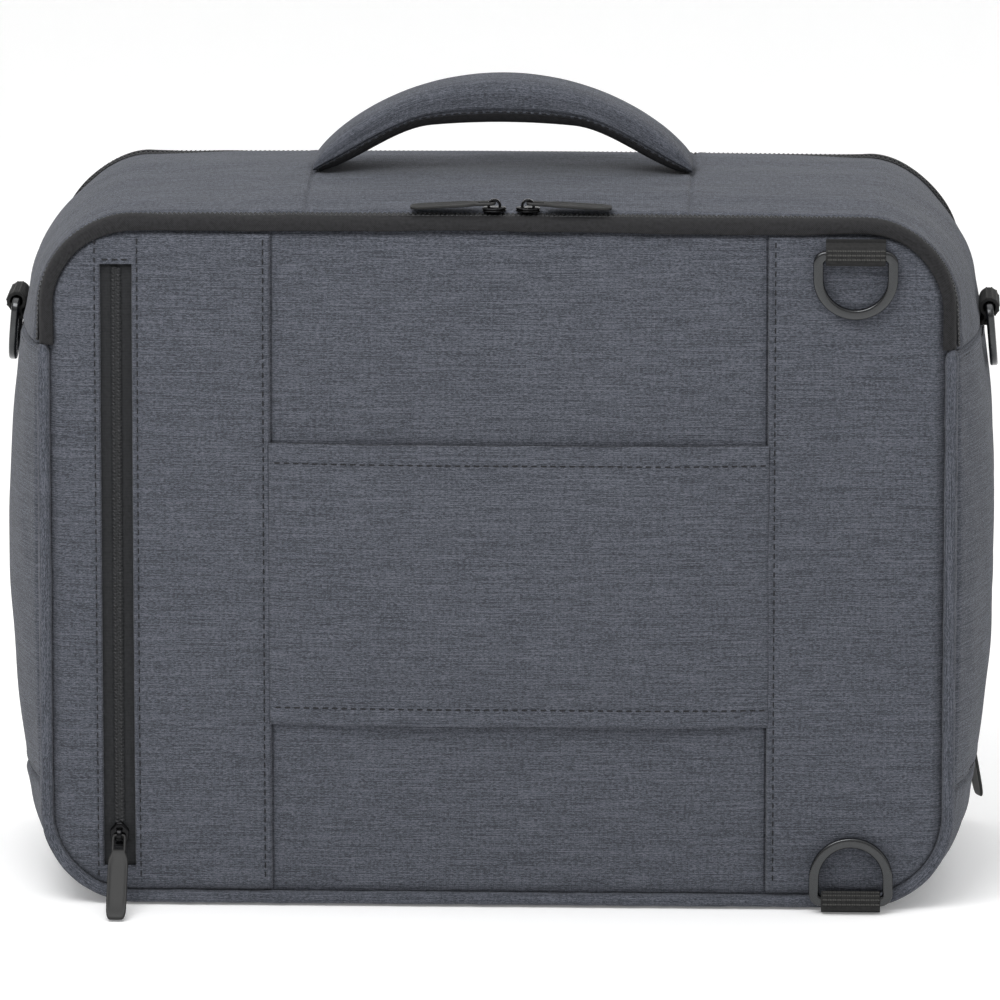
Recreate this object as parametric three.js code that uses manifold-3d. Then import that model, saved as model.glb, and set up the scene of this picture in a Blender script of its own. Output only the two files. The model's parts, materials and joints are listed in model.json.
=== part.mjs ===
// A convertible backpack of the flat, three-way kind: a soft zipped case that is carried by its top handle, on
// a shoulder strap hooked to its sides, or on the back with straps hooked to the two rings of its back panel.
// It stands on its base with the back panel, which holds the trolley sleeve and the pocket zip, facing -Y.
// Millimetres, +Z up. The origin is the middle of the whole model's box, at the base.

import * as THREE from "three";
import { mergeVertices } from "three/addons/utils/BufferGeometryUtils.js";
import Module from "manifold-3d";

const wasm = await Module();
wasm.setup();

// Driving dimensions of the case

const caseHalfWidth = 191; // to the middle of the piping
const caseHeight = 292; // from the middle of the lower piping to the middle of the upper edge
const caseDepth = 160; // between the edges of the two panels
const topCornerRadius = 38;
const baseCornerRadius = 38;
const sideBulge = 18.4; // how far the soft sides swell past the piping
const bulgeReach = 148; // up and down from the widest place to where the swelling ends
const topCrown = 8;
const baseSag = 3; // the base hangs this far below the piping, down to the floor
const wall = 2.6; // cloth with its foam backing
const gap = 0.3; // between sewn pieces
const lowerSeamDrop = 49; // heights of the seams across the gusset, from the two ends of the panels
const upperSeamDrop = 55;

// Panels, piping and zip tapes

const panelThickness = 5;
const backCrown = 4.5; // how far the padded panels swell in the middle
const frontCrown = 9;
const pipingRadius = 2.8;
const tapeThickness = 2.2;
const tapeFace = 5.6; // the rolled zip tape's height on the panel side
const tapeDepth = 8.8; // and its depth on the gusset side
const tapeInset = 4.4; // its inner edge inside the outline
const tapeFront = 2; // how far it stands in front of the piping's plane

// Pocket zip, trolley sleeve

const pocketZipInset = 31.4; // from the case's left side to the zip's middle
const pocketZipWidth = 13.2;
const pocketZipLowEnd = 14; // from the panel's lower and upper end
const pocketZipHighEnd = 19;
const pocketTape = 1.4;
const pocketTapeRecess = 0.6;
const coilWidth = 3.2;
const coilHeight = 0.8;
const sleeveLeftInset = 95; // from the case's sides to the sleeve's seams
const sleeveRightInset = 76.1;
const sleeveLowEnd = 77; // from the panel's lower and upper end
const sleeveHighEnd = 94;
const sleeveThickness = 1.4;
const sleeveRoom = 5.6; // room behind the sleeve for a trolley's handle

// Rings and their webbing

const ringInnerWidth = 27;
const ringLength = 29.2;
const ringWidth = 4.2; // of the cast bar, in the ring's plane
const ringThickness = 3.4;
const ringChamfer = 0.8;
const ringCorner = 3.2;
const webbingWidth = 25.4;
const webbingThickness = 1.7;
const ringClearance = 0.3;
const upperRingInset = 41; // from the case's right side to the ring's middle
const upperRingDrop = 12.6; // from the panel's upper end to the ring's bar
const lowerRingInset = 41.4;
const lowerRingZ = 5.6;
const sideRingRise = 6.5; // above the upper seam
const sideRingTilt = 5; // degrees that the side rings lean out on the swollen gusset
const backRingTilt = 2;

// Zip sliders and pulls

const sliderWidth = 8;
const sliderLength = 10.5;
const sliderBody = 2;
const bridgeOuter = 3.1;
const bridgeInner = 1.7;
const bridgeWidth = 2.2;
const bridgeLift = 0.4;
const pocketPullLength = 41;
const mainPullLength = 36;
const frontPullLength = 48;
const pullWidth = 8.6;
const pullThickness = 1.6;
const pullNeck = 6.4;
const pullEyeWidth = 3.6;
const pullEyeLength = 6.4;
const pocketSliderRise = 14; // above the zip's lower end
const mainSliderLeftX = -1.3;
const mainSliderRightX = 12.8;
const frontSliderRise = 6; // above the lower seam

// Handle

const handleHalfSpan = 79; // to the outer edges of its feet
const handleHalfGap = 78; // to where its underside comes down on the gusset
const handleSlope = 48; // from there in to where its underside is level
const handleTop = 39.6; // its crown above the case
const handleFoot = 3.4; // thickness of the ends of its feet
const handleGap = 22.4; // under its crown
const handleDepth = 30; // across the hand
const handleFootDepth = 26;
const handleY = 84;

// Finishes

const cloth = { color: 0x565a63, roughness: 0.9, metalness: 0 };
const paddedCloth = { color: 0x50545d, roughness: 0.9, metalness: 0 };
const darkTape = { color: 0x2f3132, roughness: 0.85, metalness: 0 };
const webbing = { color: 0x393937, roughness: 0.8, metalness: 0 };
const gunmetal = { color: 0x4a4a48, roughness: 0.3, metalness: 0.9 };
const blackMetal = { color: 0x1c1c1c, roughness: 0.25, metalness: 0.9 };
const rubber = { color: 0x3c3d3a, roughness: 0.6, metalness: 0 };

// Mesh making

const radians = THREE.MathUtils.degToRad;
const model = new THREE.Group();

function addMesh(name, geometry, finish, parent = model) {
  const mesh = new THREE.Mesh(geometry, new THREE.MeshStandardMaterial(finish));
  mesh.name = name;
  parent.add(mesh);
  return mesh;
}

// A closed geometry from points and triangles, turned so that its faces point out.
function closedGeometry(points, triangles) {
  let volume = 0;
  for (const [a, b, c] of triangles) {
    volume += points[a].dot(new THREE.Vector3().crossVectors(points[b], points[c]));
  }
  const order = volume < 0 ? ([a, b, c]) => [a, c, b] : (triangle) => triangle;
  const geometry = new THREE.BufferGeometry();
  geometry.setAttribute("position", new THREE.Float32BufferAttribute(points.flatMap((p) => p.toArray()), 3));
  geometry.setIndex(triangles.flatMap(order));
  geometry.computeVertexNormals();
  return geometry;
}

// Joins like closed sections into one skin. A loop joins the last to the first. Otherwise the ends are closed:
// by a fan, or, for a thin wall whose section runs out on one face and back on the other, by a strip.
function loft(sections, { loop = false, ends = "fan" } = {}) {
  const size = sections[0].length;
  const points = sections.flat();
  const triangles = [];
  const spans = loop ? sections.length : sections.length - 1;
  for (let row = 0; row < spans; row++) {
    const next = ((row + 1) % sections.length) * size;
    for (let i = 0; i < size; i++) {
      const j = (i + 1) % size;
      triangles.push([row * size + i, row * size + j, next + j]);
      triangles.push([row * size + i, next + j, next + i]);
    }
  }
  if (!loop) {
    const last = (sections.length - 1) * size;
    for (const [start, reversed] of [[0, true], [last, false]]) {
      const cap = ends === "fan" ? fanCap(sections[start / size], points) : stripCap(size);
      for (const [a, b, c] of cap) {
        const corners = [a, b, c].map((index) => (index < size ? start + index : index));
        triangles.push(reversed ? corners.reverse() : corners);
      }
    }
  }
  return closedGeometry(points, triangles);
}

function fanCap(section, points) {
  const centre = section.reduce((sum, p) => sum.add(p), new THREE.Vector3()).divideScalar(section.length);
  points.push(centre);
  return section.map((_, i) => [i, (i + 1) % section.length, points.length - 1]);
}

function stripCap(size) {
  const triangles = [];
  for (let i = 0; i < size / 2 - 1; i++) {
    const back = size - 1 - i;
    triangles.push([i, i + 1, back - 1], [i, back - 1, back]);
  }
  return triangles;
}

// Booleans: a geometry as a solid, and back

function solidOf(geometry) {
  const bare = geometry.index ? geometry.toNonIndexed() : geometry.clone();
  bare.deleteAttribute("normal");
  bare.deleteAttribute("uv");
  const merged = mergeVertices(bare, 1e-3);
  const mesh = new wasm.Mesh({
    numProp: 3,
    vertProperties: merged.attributes.position.array,
    triVerts: new Uint32Array(merged.index.array),
  });
  return new wasm.Manifold(mesh);
}

function geometryOf(solid) {
  const { vertProperties, triVerts } = solid.getMesh();
  const geometry = new THREE.BufferGeometry();
  geometry.setAttribute("position", new THREE.BufferAttribute(vertProperties, 3));
  geometry.setIndex(new THREE.BufferAttribute(triVerts, 1));
  geometry.computeVertexNormals();
  return geometry;
}

function circle(x, y, radius, steps) {
  return Array.from({ length: steps }, (_, i) => {
    const angle = (-2 * Math.PI * i) / steps;
    return new THREE.Vector2(x + radius * Math.cos(angle), y + radius * Math.sin(angle));
  });
}

function boxBetween(low, high) {
  const size = high.map((value, i) => value - low[i]);
  const middle = high.map((value, i) => (value + low[i]) / 2);
  return new THREE.BoxGeometry(...size).translate(...middle);
}

// The case's outline: stations on a rounded rectangle in the XZ plane, each with its outward normal

const outlineLow = baseSag;
const outlineHigh = outlineLow + caseHeight;
const outlineMiddle = (outlineLow + outlineHigh) / 2;

// Places that follow the case's sizes

const lowerSeam = outlineLow + lowerSeamDrop;
const upperSeam = outlineHigh - upperSeamDrop;
const pocketZipX = pocketZipInset - caseHalfWidth;
const pocketZipLow = outlineLow + pocketZipLowEnd;
const pocketZipHigh = outlineHigh - pocketZipHighEnd;
const pocketSliderZ = pocketZipLow + pocketSliderRise;
const sleeveLeft = sleeveLeftInset - caseHalfWidth;
const sleeveRight = caseHalfWidth - sleeveRightInset;
const sleeveLow = outlineLow + sleeveLowEnd;
const sleeveHigh = outlineHigh - sleeveHighEnd;
const upperRingX = caseHalfWidth - upperRingInset;
const upperRingZ = outlineHigh - upperRingDrop;
const lowerRingX = caseHalfWidth - lowerRingInset;
const sideRingZ = upperSeam + sideRingRise;
const frontSliderZ = lowerSeam + frontSliderRise;

function straight([x0, z0], [x1, z1], [nx, nz], steps) {
  return Array.from({ length: steps + 1 }, (_, i) => {
    const share = i / steps;
    return { x: x0 + (x1 - x0) * share, z: z0 + (z1 - z0) * share, nx, nz };
  });
}

function corner([cx, cz], radius, fromDegrees, steps) {
  return Array.from({ length: steps + 1 }, (_, i) => {
    const angle = radians(fromDegrees + (90 * i) / steps);
    const nx = Math.cos(angle);
    const nz = Math.sin(angle);
    return { x: cx + radius * nx, z: cz + radius * nz, nx, nz };
  });
}

const mirrored = (stations) => stations.map(({ x, z, nx, nz }) => ({ x: -x, z, nx: -nx, nz })).reverse();

// The right half of the outline in three lengths, from the middle of the base to the middle of the top.
function halfOutline(lowCut, highCut) {
  const w = caseHalfWidth;
  const baseCorner = [w - baseCornerRadius, outlineLow + baseCornerRadius];
  const topCorner = [w - topCornerRadius, outlineHigh - topCornerRadius];
  return {
    base: [
      ...straight([0, outlineLow], [baseCorner[0], outlineLow], [0, -1], 4),
      ...corner(baseCorner, baseCornerRadius, -90, 6).slice(1),
      ...straight([w, baseCorner[1]], [w, lowCut], [1, 0], 1).slice(1),
    ],
    side: straight([w, lowCut], [w, highCut], [1, 0], 7),
    top: [
      ...straight([w, highCut], [w, topCorner[1]], [1, 0], 1),
      ...corner(topCorner, topCornerRadius, 0, 7).slice(1),
      ...straight([topCorner[0], outlineHigh], [0, outlineHigh], [0, 1], 6).slice(1),
    ],
  };
}

const bothSides = (half) => [...half, ...mirrored(half).slice(1)];
const fromLeft = (half) => [...mirrored(half), ...half.slice(1)];

// How far the skin stands outside the outline at a station and a share of the depth.
function swell({ x, z, nx, nz }, share) {
  const across = 1 - Math.abs(2 * share - 1) ** 3;
  const fade = Math.max(0, 1 - (Math.abs(z - outlineMiddle + 3) / bulgeReach) ** 2.2);
  const sideways = Math.abs(nx) * sideBulge * fade * across;
  const upwards = Math.max(nz, 0) * topCrown * (1 - 0.6 * (Math.abs(x) / caseHalfWidth) ** 2) * across;
  const downwards = Math.max(-nz, 0) * baseSag * Math.min(1, 2.2 * across);
  return sideways + upwards + downwards;
}

function skinPoint(station, depth, inset = 0) {
  const out = swell(station, depth / caseDepth) - inset;
  return new THREE.Vector3(station.x + station.nx * out, depth, station.z + station.nz * out);
}

// Gusset: walls whose section runs over the outer face and back along the inner one

const depthShares = [0, 0.07, 0.2, 0.38, 0.62, 0.8, 0.93, 1];

function gussetPiece(stations, nearEdge, farEdge) {
  const depths = depthShares.map((share) => nearEdge + (farEdge - nearEdge) * share);
  const sections = stations.map((station) => [
    ...depths.map((depth) => skinPoint(station, depth)),
    ...[...depths].reverse().map((depth) => skinPoint(station, depth, wall)),
  ]);
  return loft(sections, { ends: "strip" });
}

const tapeEdge = tapeDepth - tapeFront + gap;
const pipingEdge = pipingRadius + gap;
const cut = halfOutline(lowerSeam, upperSeam);
const sideCut = halfOutline(lowerSeam + gap, upperSeam - gap);

addMesh("top_gusset", gussetPiece(bothSides(cut.top), tapeEdge, caseDepth - tapeEdge), cloth);
addMesh("base_gusset", gussetPiece(fromLeft(cut.base), pipingEdge, caseDepth - pipingEdge), cloth);
addMesh("right_side_gusset", gussetPiece(sideCut.side, pipingEdge, caseDepth - tapeEdge), cloth);
addMesh("left_side_gusset", gussetPiece(mirrored(sideCut.side), pipingEdge, caseDepth - tapeEdge), cloth);

// Rolled zip tape along an edge: a quarter round from the panel's face to the gusset

function rolledTape(stations, depthOf) {
  const steps = 4;
  const angles = Array.from({ length: steps + 1 }, (_, i) => (Math.PI / 2) * (i / steps));
  const sections = stations.map(({ x, z, nx, nz }) => {
    const at = (face, depth, angle) => {
      const out = face * Math.sin(angle) - tapeInset;
      return new THREE.Vector3(x + nx * out, depthOf(tapeDepth - tapeFront - depth * Math.cos(angle)), z + nz * out);
    };
    const inside = [...angles].reverse();
    return [
      ...angles.map((angle) => at(tapeFace, tapeDepth, angle)),
      ...inside.map((angle) => at(tapeFace - tapeThickness, tapeDepth - tapeThickness, angle)),
    ];
  });
  return loft(sections, { ends: "strip" });
}

const nearPlane = (depth) => depth;
const farPlane = (depth) => caseDepth - depth;
const frontTop = [...sideCut.side, ...cut.top.slice(1)];

addMesh("main_zip_tape", rolledTape(bothSides(cut.top), nearPlane), darkTape);
addMesh("front_zip_tape", rolledTape(bothSides(frontTop), farPlane), darkTape);

// Piping: a round cord covered in cloth, along the rest of each edge

function pipingAlong(stations, depthOf) {
  const sides = 8;
  const sections = stations.map(({ x, z, nx, nz }) =>
    Array.from({ length: sides }, (_, i) => {
      const angle = (2 * Math.PI * i) / sides;
      const out = pipingRadius * Math.cos(angle) - 0.6;
      return new THREE.Vector3(x + nx * out, depthOf(pipingRadius * Math.sin(angle)), z + nz * out);
    }),
  );
  return loft(sections);
}

const backPipingPath = [...cut.base, ...sideCut.side.slice(1)];
const frontPipingPath = halfOutline(lowerSeam - gap, upperSeam).base;

addMesh("back_piping", pipingAlong(fromLeft(backPipingPath), nearPlane), cloth);
addMesh("front_piping", pipingAlong(fromLeft(frontPipingPath), farPlane), cloth);

// Panels: padded plates inside the piping, swollen in the middle

const panelInset = tapeInset + gap;
const panelHalfWidth = caseHalfWidth - panelInset;
const panelHalfHeight = caseHeight / 2 - panelInset;
const panelFace = 1.2; // how far a panel's face stands in front of the piping's plane at its edge

function panelSwell(x, z, crown) {
  const acrossWidth = 1 - Math.min(1, Math.abs(x) / panelHalfWidth) ** 3;
  const acrossHeight = 1 - Math.min(1, Math.abs(z - outlineMiddle) / panelHalfHeight) ** 3;
  return panelFace + crown * acrossWidth * acrossHeight;
}

const backFaceY = (x, z) => -panelSwell(x, z, backCrown);

function panelPlate(crown, depthOf) {
  const rim = fromLeft([...cut.base, ...cut.side.slice(1), ...cut.top.slice(1)]).slice(1);
  const ring = (share, thickness) =>
    rim.map(({ x, z, nx, nz }) => {
      const px = (x - nx * panelInset) * share;
      const pz = outlineMiddle + (z - nz * panelInset - outlineMiddle) * share;
      return new THREE.Vector3(px, depthOf(thickness - panelSwell(px, pz, crown)), pz);
    });
  const shares = [0.15, 0.4, 0.65, 0.85, 1];
  const face = shares.map((share) => ring(share, 0));
  const lining = [...shares].reverse().map((share) => ring(share, panelThickness));
  return loft([...face, ...lining]);
}

const slotReach = 2 * (panelThickness + backCrown);
const pocketSlot = boxBetween(
  [pocketZipX - pocketZipWidth / 2, -slotReach, pocketZipLow],
  [pocketZipX + pocketZipWidth / 2, slotReach, pocketZipHigh],
);
const backPanel = solidOf(panelPlate(backCrown, nearPlane)).subtract(solidOf(pocketSlot));
addMesh("back_panel", geometryOf(backPanel), paddedCloth);
addMesh("front_panel", panelPlate(frontCrown, farPlane), paddedCloth);

// A sheet that follows the back panel: front and back faces over a grid of x and z

function sheetOnBack(xs, zs, frontY, backY) {
  const sections = zs.map((z) => [
    ...xs.map((x) => new THREE.Vector3(x, frontY(x, z), z)),
    ...[...xs].reverse().map((x) => new THREE.Vector3(x, backY(x, z), z)),
  ]);
  return loft(sections, { ends: "strip" });
}

const spread = (low, high, steps) => Array.from({ length: steps + 1 }, (_, i) => low + ((high - low) * i) / steps);

// Trolley sleeve: a band sewn down its two sides, open above and below

const sleeveMiddle = (sleeveLeft + sleeveRight) / 2;
const sleeveHalf = (sleeveRight - sleeveLeft) / 2;
const sleeveStand = (x) => gap + sleeveRoom * (1 - Math.abs((x - sleeveMiddle) / sleeveHalf) ** 4);
const sleeveBackY = (x, z) => backFaceY(x, z) - sleeveStand(x);
const sleeveFrontY = (x, z) => sleeveBackY(x, z) - sleeveThickness;

addMesh(
  "trolley_sleeve",
  sheetOnBack(spread(sleeveLeft, sleeveRight, 16), spread(sleeveLow, sleeveHigh, 5), sleeveFrontY, sleeveBackY),
  cloth,
);

// Pocket zip: the tape in its slot and the coil on the tape

const tapeFaceY = (x, z) => backFaceY(x, z) + pocketTapeRecess;
const tapeEnds = spread(pocketZipLow + gap, pocketZipHigh - gap, 12);
const tapeHalf = pocketZipWidth / 2 - gap;

addMesh(
  "pocket_zip_tape",
  sheetOnBack(
    spread(pocketZipX - tapeHalf, pocketZipX + tapeHalf, 2),
    tapeEnds,
    tapeFaceY,
    (x, z) => tapeFaceY(x, z) + pocketTape,
  ),
  darkTape,
);

const coilFoot = pocketSliderZ + sliderLength / 2 + gap;
const coilBackY = (z) => tapeFaceY(pocketZipX + coilWidth / 2, z) - gap;
addMesh(
  "pocket_zip_coil",
  sheetOnBack(
    spread(pocketZipX - coilWidth / 2, pocketZipX + coilWidth / 2, 2),
    spread(coilFoot, pocketZipHigh - 2, 12),
    (x, z) => coilBackY(z) - coilHeight - 0.4,
    (x, z) => coilBackY(z) - 0.4,
  ),
  darkTape,
);

// Zip sliders and pulls. In a zip's own frame X runs across it, Z along it and +Y out of it.

function sliderGeometry() {
  const half = sliderWidth / 2;
  const reach = sliderLength / 2;
  const shield = new THREE.Shape()
    .moveTo(-half * 0.8, -reach)
    .lineTo(half * 0.8, -reach)
    .lineTo(half, 0)
    .lineTo(half, reach * 0.5)
    .lineTo(half * 0.5, reach)
    .lineTo(-half * 0.5, reach)
    .lineTo(-half, reach * 0.5)
    .lineTo(-half, 0);
  const body = new THREE.ExtrudeGeometry(shield, { depth: sliderBody, bevelEnabled: false });
  body.rotateX(Math.PI / 2).translate(0, sliderBody, 0);
  const arch = new THREE.Shape().absarc(0, 0, bridgeOuter, 0, Math.PI, false);
  arch.lineTo(-bridgeOuter, -1).lineTo(bridgeOuter, -1);
  arch.holes.push(new THREE.Path(circle(0, bridgeInner - 0.5, bridgeInner, 12)));
  const bridge = new THREE.ExtrudeGeometry(arch, { depth: bridgeWidth, bevelEnabled: false, curveSegments: 6 });
  bridge.translate(0, 0, -bridgeWidth / 2).rotateY(Math.PI / 2).translate(0, sliderBody + bridgeLift, 0);
  return geometryOf(solidOf(body).add(solidOf(bridge)));
}

const pivotHeight = sliderBody + bridgeLift + bridgeInner - 0.5; // the pull's bar above the zip

function pullGeometry(length) {
  const bar = pullThickness / 2;
  const eye = pullEyeWidth / 2;
  const shoulder = pullEyeLength + 3;
  const outline = new THREE.Shape()
    .moveTo(-pullNeck / 2, bar)
    .lineTo(pullNeck / 2, bar)
    .lineTo(pullNeck / 2, -pullEyeLength * 0.5)
    .lineTo(pullWidth / 2, -shoulder)
    .lineTo(pullWidth / 2, bar - length)
    .lineTo(-pullWidth / 2, bar - length)
    .lineTo(-pullWidth / 2, -shoulder)
    .lineTo(-pullNeck / 2, -pullEyeLength * 0.5);
  const hole = new THREE.Path()
    .moveTo(-eye, -bar)
    .lineTo(-eye, -pullEyeLength)
    .lineTo(eye, -pullEyeLength)
    .lineTo(eye, -bar);
  outline.holes.push(hole);
  const strip = new THREE.ExtrudeGeometry(outline, { depth: pullThickness, bevelEnabled: false });
  return strip.translate(0, 0, -pullThickness / 2).rotateX(Math.PI / 2);
}

// A slider on a zip, and its pull turned by an angle about the bar, 0 lying along the zip.
function addSlider(prefix, { position, outwards, along, lift, length }) {
  const across = new THREE.Vector3().crossVectors(outwards, along);
  const frame = new THREE.Group();
  frame.position.copy(position);
  frame.setRotationFromMatrix(new THREE.Matrix4().makeBasis(across, outwards, along));
  model.add(frame);
  addMesh(`${prefix}_slider`, sliderGeometry(), blackMetal, frame);
  const pull = addMesh(`${prefix}_pull`, pullGeometry(length), rubber, frame);
  pull.position.set(0, pivotHeight, 0);
  pull.rotation.x = radians(lift);
  return frame;
}

const xAxis = new THREE.Vector3(1, 0, 0);
const zAxis = new THREE.Vector3(0, 0, 1);
const towardsBack = new THREE.Vector3(0, -1, 0);

const pocketFace = tapeFaceY(pocketZipX, pocketSliderZ) - gap;
const pocketLift = THREE.MathUtils.radToDeg(Math.acos((pocketSliderZ - 1) / (pocketPullLength - pullThickness / 2)));
addSlider("pocket_zip", {
  position: new THREE.Vector3(pocketZipX, pocketFace, pocketSliderZ),
  outwards: towardsBack,
  along: zAxis,
  lift: pocketLift,
  length: pocketPullLength,
});

// The two sliders of the main zip meet on top, on the seam between tape and gusset, their pulls pointing away.
const mainSeam = new THREE.Vector3(0, tapeDepth - tapeFront, outlineHigh + 3);
for (const [side, x, direction] of [["left", mainSliderLeftX, 1], ["right", mainSliderRightX, -1]]) {
  addSlider(`main_zip_${side}`, {
    position: mainSeam.clone().setX(x),
    outwards: zAxis,
    along: xAxis.clone().multiplyScalar(direction),
    lift: -3,
    length: mainPullLength,
  });
}

// The front compartment's slider is parked low on the right side, its pull hanging.
addSlider("front_zip", {
  position: new THREE.Vector3(caseHalfWidth + 3.1, caseDepth - tapeDepth + tapeFront + 0.8, frontSliderZ),
  outwards: new THREE.Vector3(Math.cos(radians(25)), Math.sin(radians(25)), 0),
  along: zAxis,
  lift: 11,
  length: frontPullLength,
});

// Rings: a cast D with a chamfered bar. In a ring's own frame the straight bar lies along X through the
// origin, the bow hangs down -Z, and the ring is ringThickness thick in Y.

function ringGeometry() {
  const half = ringInnerWidth / 2 + ringWidth / 2;
  const drop = ringLength - ringWidth;
  const bowCentre = -(drop - half);
  const turn = (cx, cz, radius, from, sweep, steps) =>
    Array.from({ length: steps + 1 }, (_, i) => {
      const angle = radians(from + (sweep * i) / steps);
      const [nx, nz] = [Math.cos(angle), Math.sin(angle)];
      return { x: cx + radius * nx, z: cz + radius * nz, nx, nz };
    });
  const rightCorner = turn(half - ringCorner, -ringCorner, ringCorner, 90, -90, 3);
  const bow = turn(0, bowCentre, half, 0, -180, 12);
  const leftCorner = turn(ringCorner - half, -ringCorner, ringCorner, 180, -90, 3);
  const w = ringWidth / 2;
  const t = ringThickness / 2;
  const c = ringChamfer;
  const profile = [[w, c - t], [w, t - c], [w - c, t], [c - w, t], [-w, t - c], [-w, c - t], [c - w, -t], [w - c, -t]];
  const sections = [...rightCorner, ...bow, ...leftCorner].map(({ x, z, nx, nz }) =>
    profile.map(([out, y]) => new THREE.Vector3(x + nx * out, y, z + nz * out)),
  );
  return loft(sections, { loop: true });
}

// Webbing folded round a ring's bar, in the same frame. Both layers run up to the given length, where they lie
// offset towards the case.
function webbingGeometry(length, offset) {
  const hole = Math.hypot(ringWidth / 2, ringThickness / 2 - ringChamfer) + ringClearance;
  const outer = hole + webbingThickness;
  const start = Math.asin(webbingThickness / outer) + 0.6;
  const shape = new THREE.Shape().absarc(0, 0, outer, Math.PI / 2 + start, Math.PI / 2 - start, false);
  shape.lineTo(offset + webbingThickness, length).lineTo(offset - webbingThickness, length);
  shape.holes.push(new THREE.Path(circle(0, 0, hole, 20)));
  const band = new THREE.ExtrudeGeometry(shape, { depth: webbingWidth, bevelEnabled: false, curveSegments: 10 });
  return band.translate(0, 0, -webbingWidth / 2).rotateY(Math.PI / 2).rotateX(Math.PI / 2);
}

const webbingReach = Math.hypot(ringWidth / 2, ringThickness / 2 - ringChamfer) + ringClearance + webbingThickness;

// A ring and its webbing. The frame is turned about Z so that its +Y points into the case, the ring about its
// bar: 0 hangs, and more swings the bow towards the case. The webbing's tail ends near, against the case.
function addRing(prefix, { position, turn, ringTurn, tailDown, length, near }) {
  const frame = new THREE.Group();
  frame.position.copy(position);
  frame.rotation.z = radians(turn);
  model.add(frame);
  const ring = addMesh(`${prefix}_ring`, ringGeometry(), gunmetal, frame);
  ring.rotation.x = radians(ringTurn);
  const offset = near - webbingThickness - gap;
  const strap = addMesh(`${prefix}_webbing`, webbingGeometry(length, tailDown ? -offset : offset), webbing, frame);
  strap.rotation.x = tailDown ? Math.PI : 0;
}

const upperBarY = backFaceY(upperRingX, upperRingZ - 20) - webbingReach - gap;
const upperEdgeX = upperRingX + webbingWidth / 2 - (caseHalfWidth - topCornerRadius);
const tapeLow = outlineHigh - topCornerRadius + Math.sqrt((topCornerRadius - tapeInset) ** 2 - upperEdgeX ** 2);
const upperTail = tapeLow - gap - upperRingZ;
addRing("upper", {
  position: new THREE.Vector3(upperRingX, upperBarY, upperRingZ),
  turn: 0,
  ringTurn: backRingTilt,
  tailDown: false,
  length: upperTail,
  near: backFaceY(upperRingX, upperRingZ + upperTail) - upperBarY,
});

const lowerBarY = -pipingRadius - webbingReach - 0.4;
addRing("lower", {
  position: new THREE.Vector3(lowerRingX, lowerBarY, lowerRingZ),
  turn: 0,
  ringTurn: 180 - backRingTilt,
  tailDown: true,
  length: lowerRingZ - 0.5,
  near: -pipingRadius - lowerBarY,
});

const sideMiddle = caseDepth / 2;
const sideSkin = (z) => skinPoint({ x: caseHalfWidth, z, nx: 1, nz: 0 }, sideMiddle).x;
const sideBarX = Math.max(sideSkin(sideRingZ), sideSkin(sideRingZ - 4)) + webbingReach + gap;
for (const [prefix, side] of [["right_side", 1], ["left_side", -1]]) {
  addRing(prefix, {
    position: new THREE.Vector3(side * sideBarX, sideMiddle, sideRingZ),
    turn: side * 90,
    ringTurn: -sideRingTilt,
    tailDown: true,
    length: sideRingZ - upperSeam + 1,
    near: sideBarX - sideSkin(upperSeam - 1),
  });
}

// Handle: a padded arch between an outer and an inner curve, ending in two feet on the top gusset

function handleGeometry() {
  const base = skinPoint({ x: handleHalfGap, z: outlineHigh, nx: 0, nz: 1 }, handleY).z + gap;
  const sides = 14;
  const steps = 20;
  const round = (value) => Math.sign(value) * Math.abs(value) ** 0.6;
  const sections = Array.from({ length: steps + 1 }, (_, row) => {
    const angle = (Math.PI * row) / steps;
    const [c, s] = [Math.cos(angle), Math.sin(angle)];
    const outer = new THREE.Vector3(handleHalfSpan * c, handleY, base + handleFoot + (handleTop - gap - handleFoot) * s ** 1.64);
    const rise = THREE.MathUtils.smoothstep(handleHalfGap - Math.abs(outer.x), 0, handleSlope);
    const inner = new THREE.Vector3(outer.x, handleY, base + (handleGap - gap) * rise);
    const middle = outer.clone().add(inner).multiplyScalar(0.5);
    const reach = outer.clone().sub(inner).multiplyScalar(0.5);
    const halfDepth = THREE.MathUtils.lerp(handleFootDepth, handleDepth, Math.min(1, 2 * s)) / 2;
    return Array.from({ length: sides }, (_, i) => {
      const turn = (2 * Math.PI * (i + 0.5)) / sides;
      const point = middle.clone().addScaledVector(reach, round(Math.sin(turn)));
      return point.setY(handleY + halfDepth * round(Math.cos(turn)));
    });
  });
  return loft(sections);
}

addMesh("handle", handleGeometry(), cloth);

// The origin: the middle of the whole model's box, at its base
model.updateMatrixWorld(true);
const box = new THREE.Box3().setFromObject(model, true);
const centre = box.getCenter(new THREE.Vector3());
model.position.set(-centre.x, -centre.y, -box.min.z);

export default model;
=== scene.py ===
import json
import math

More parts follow.
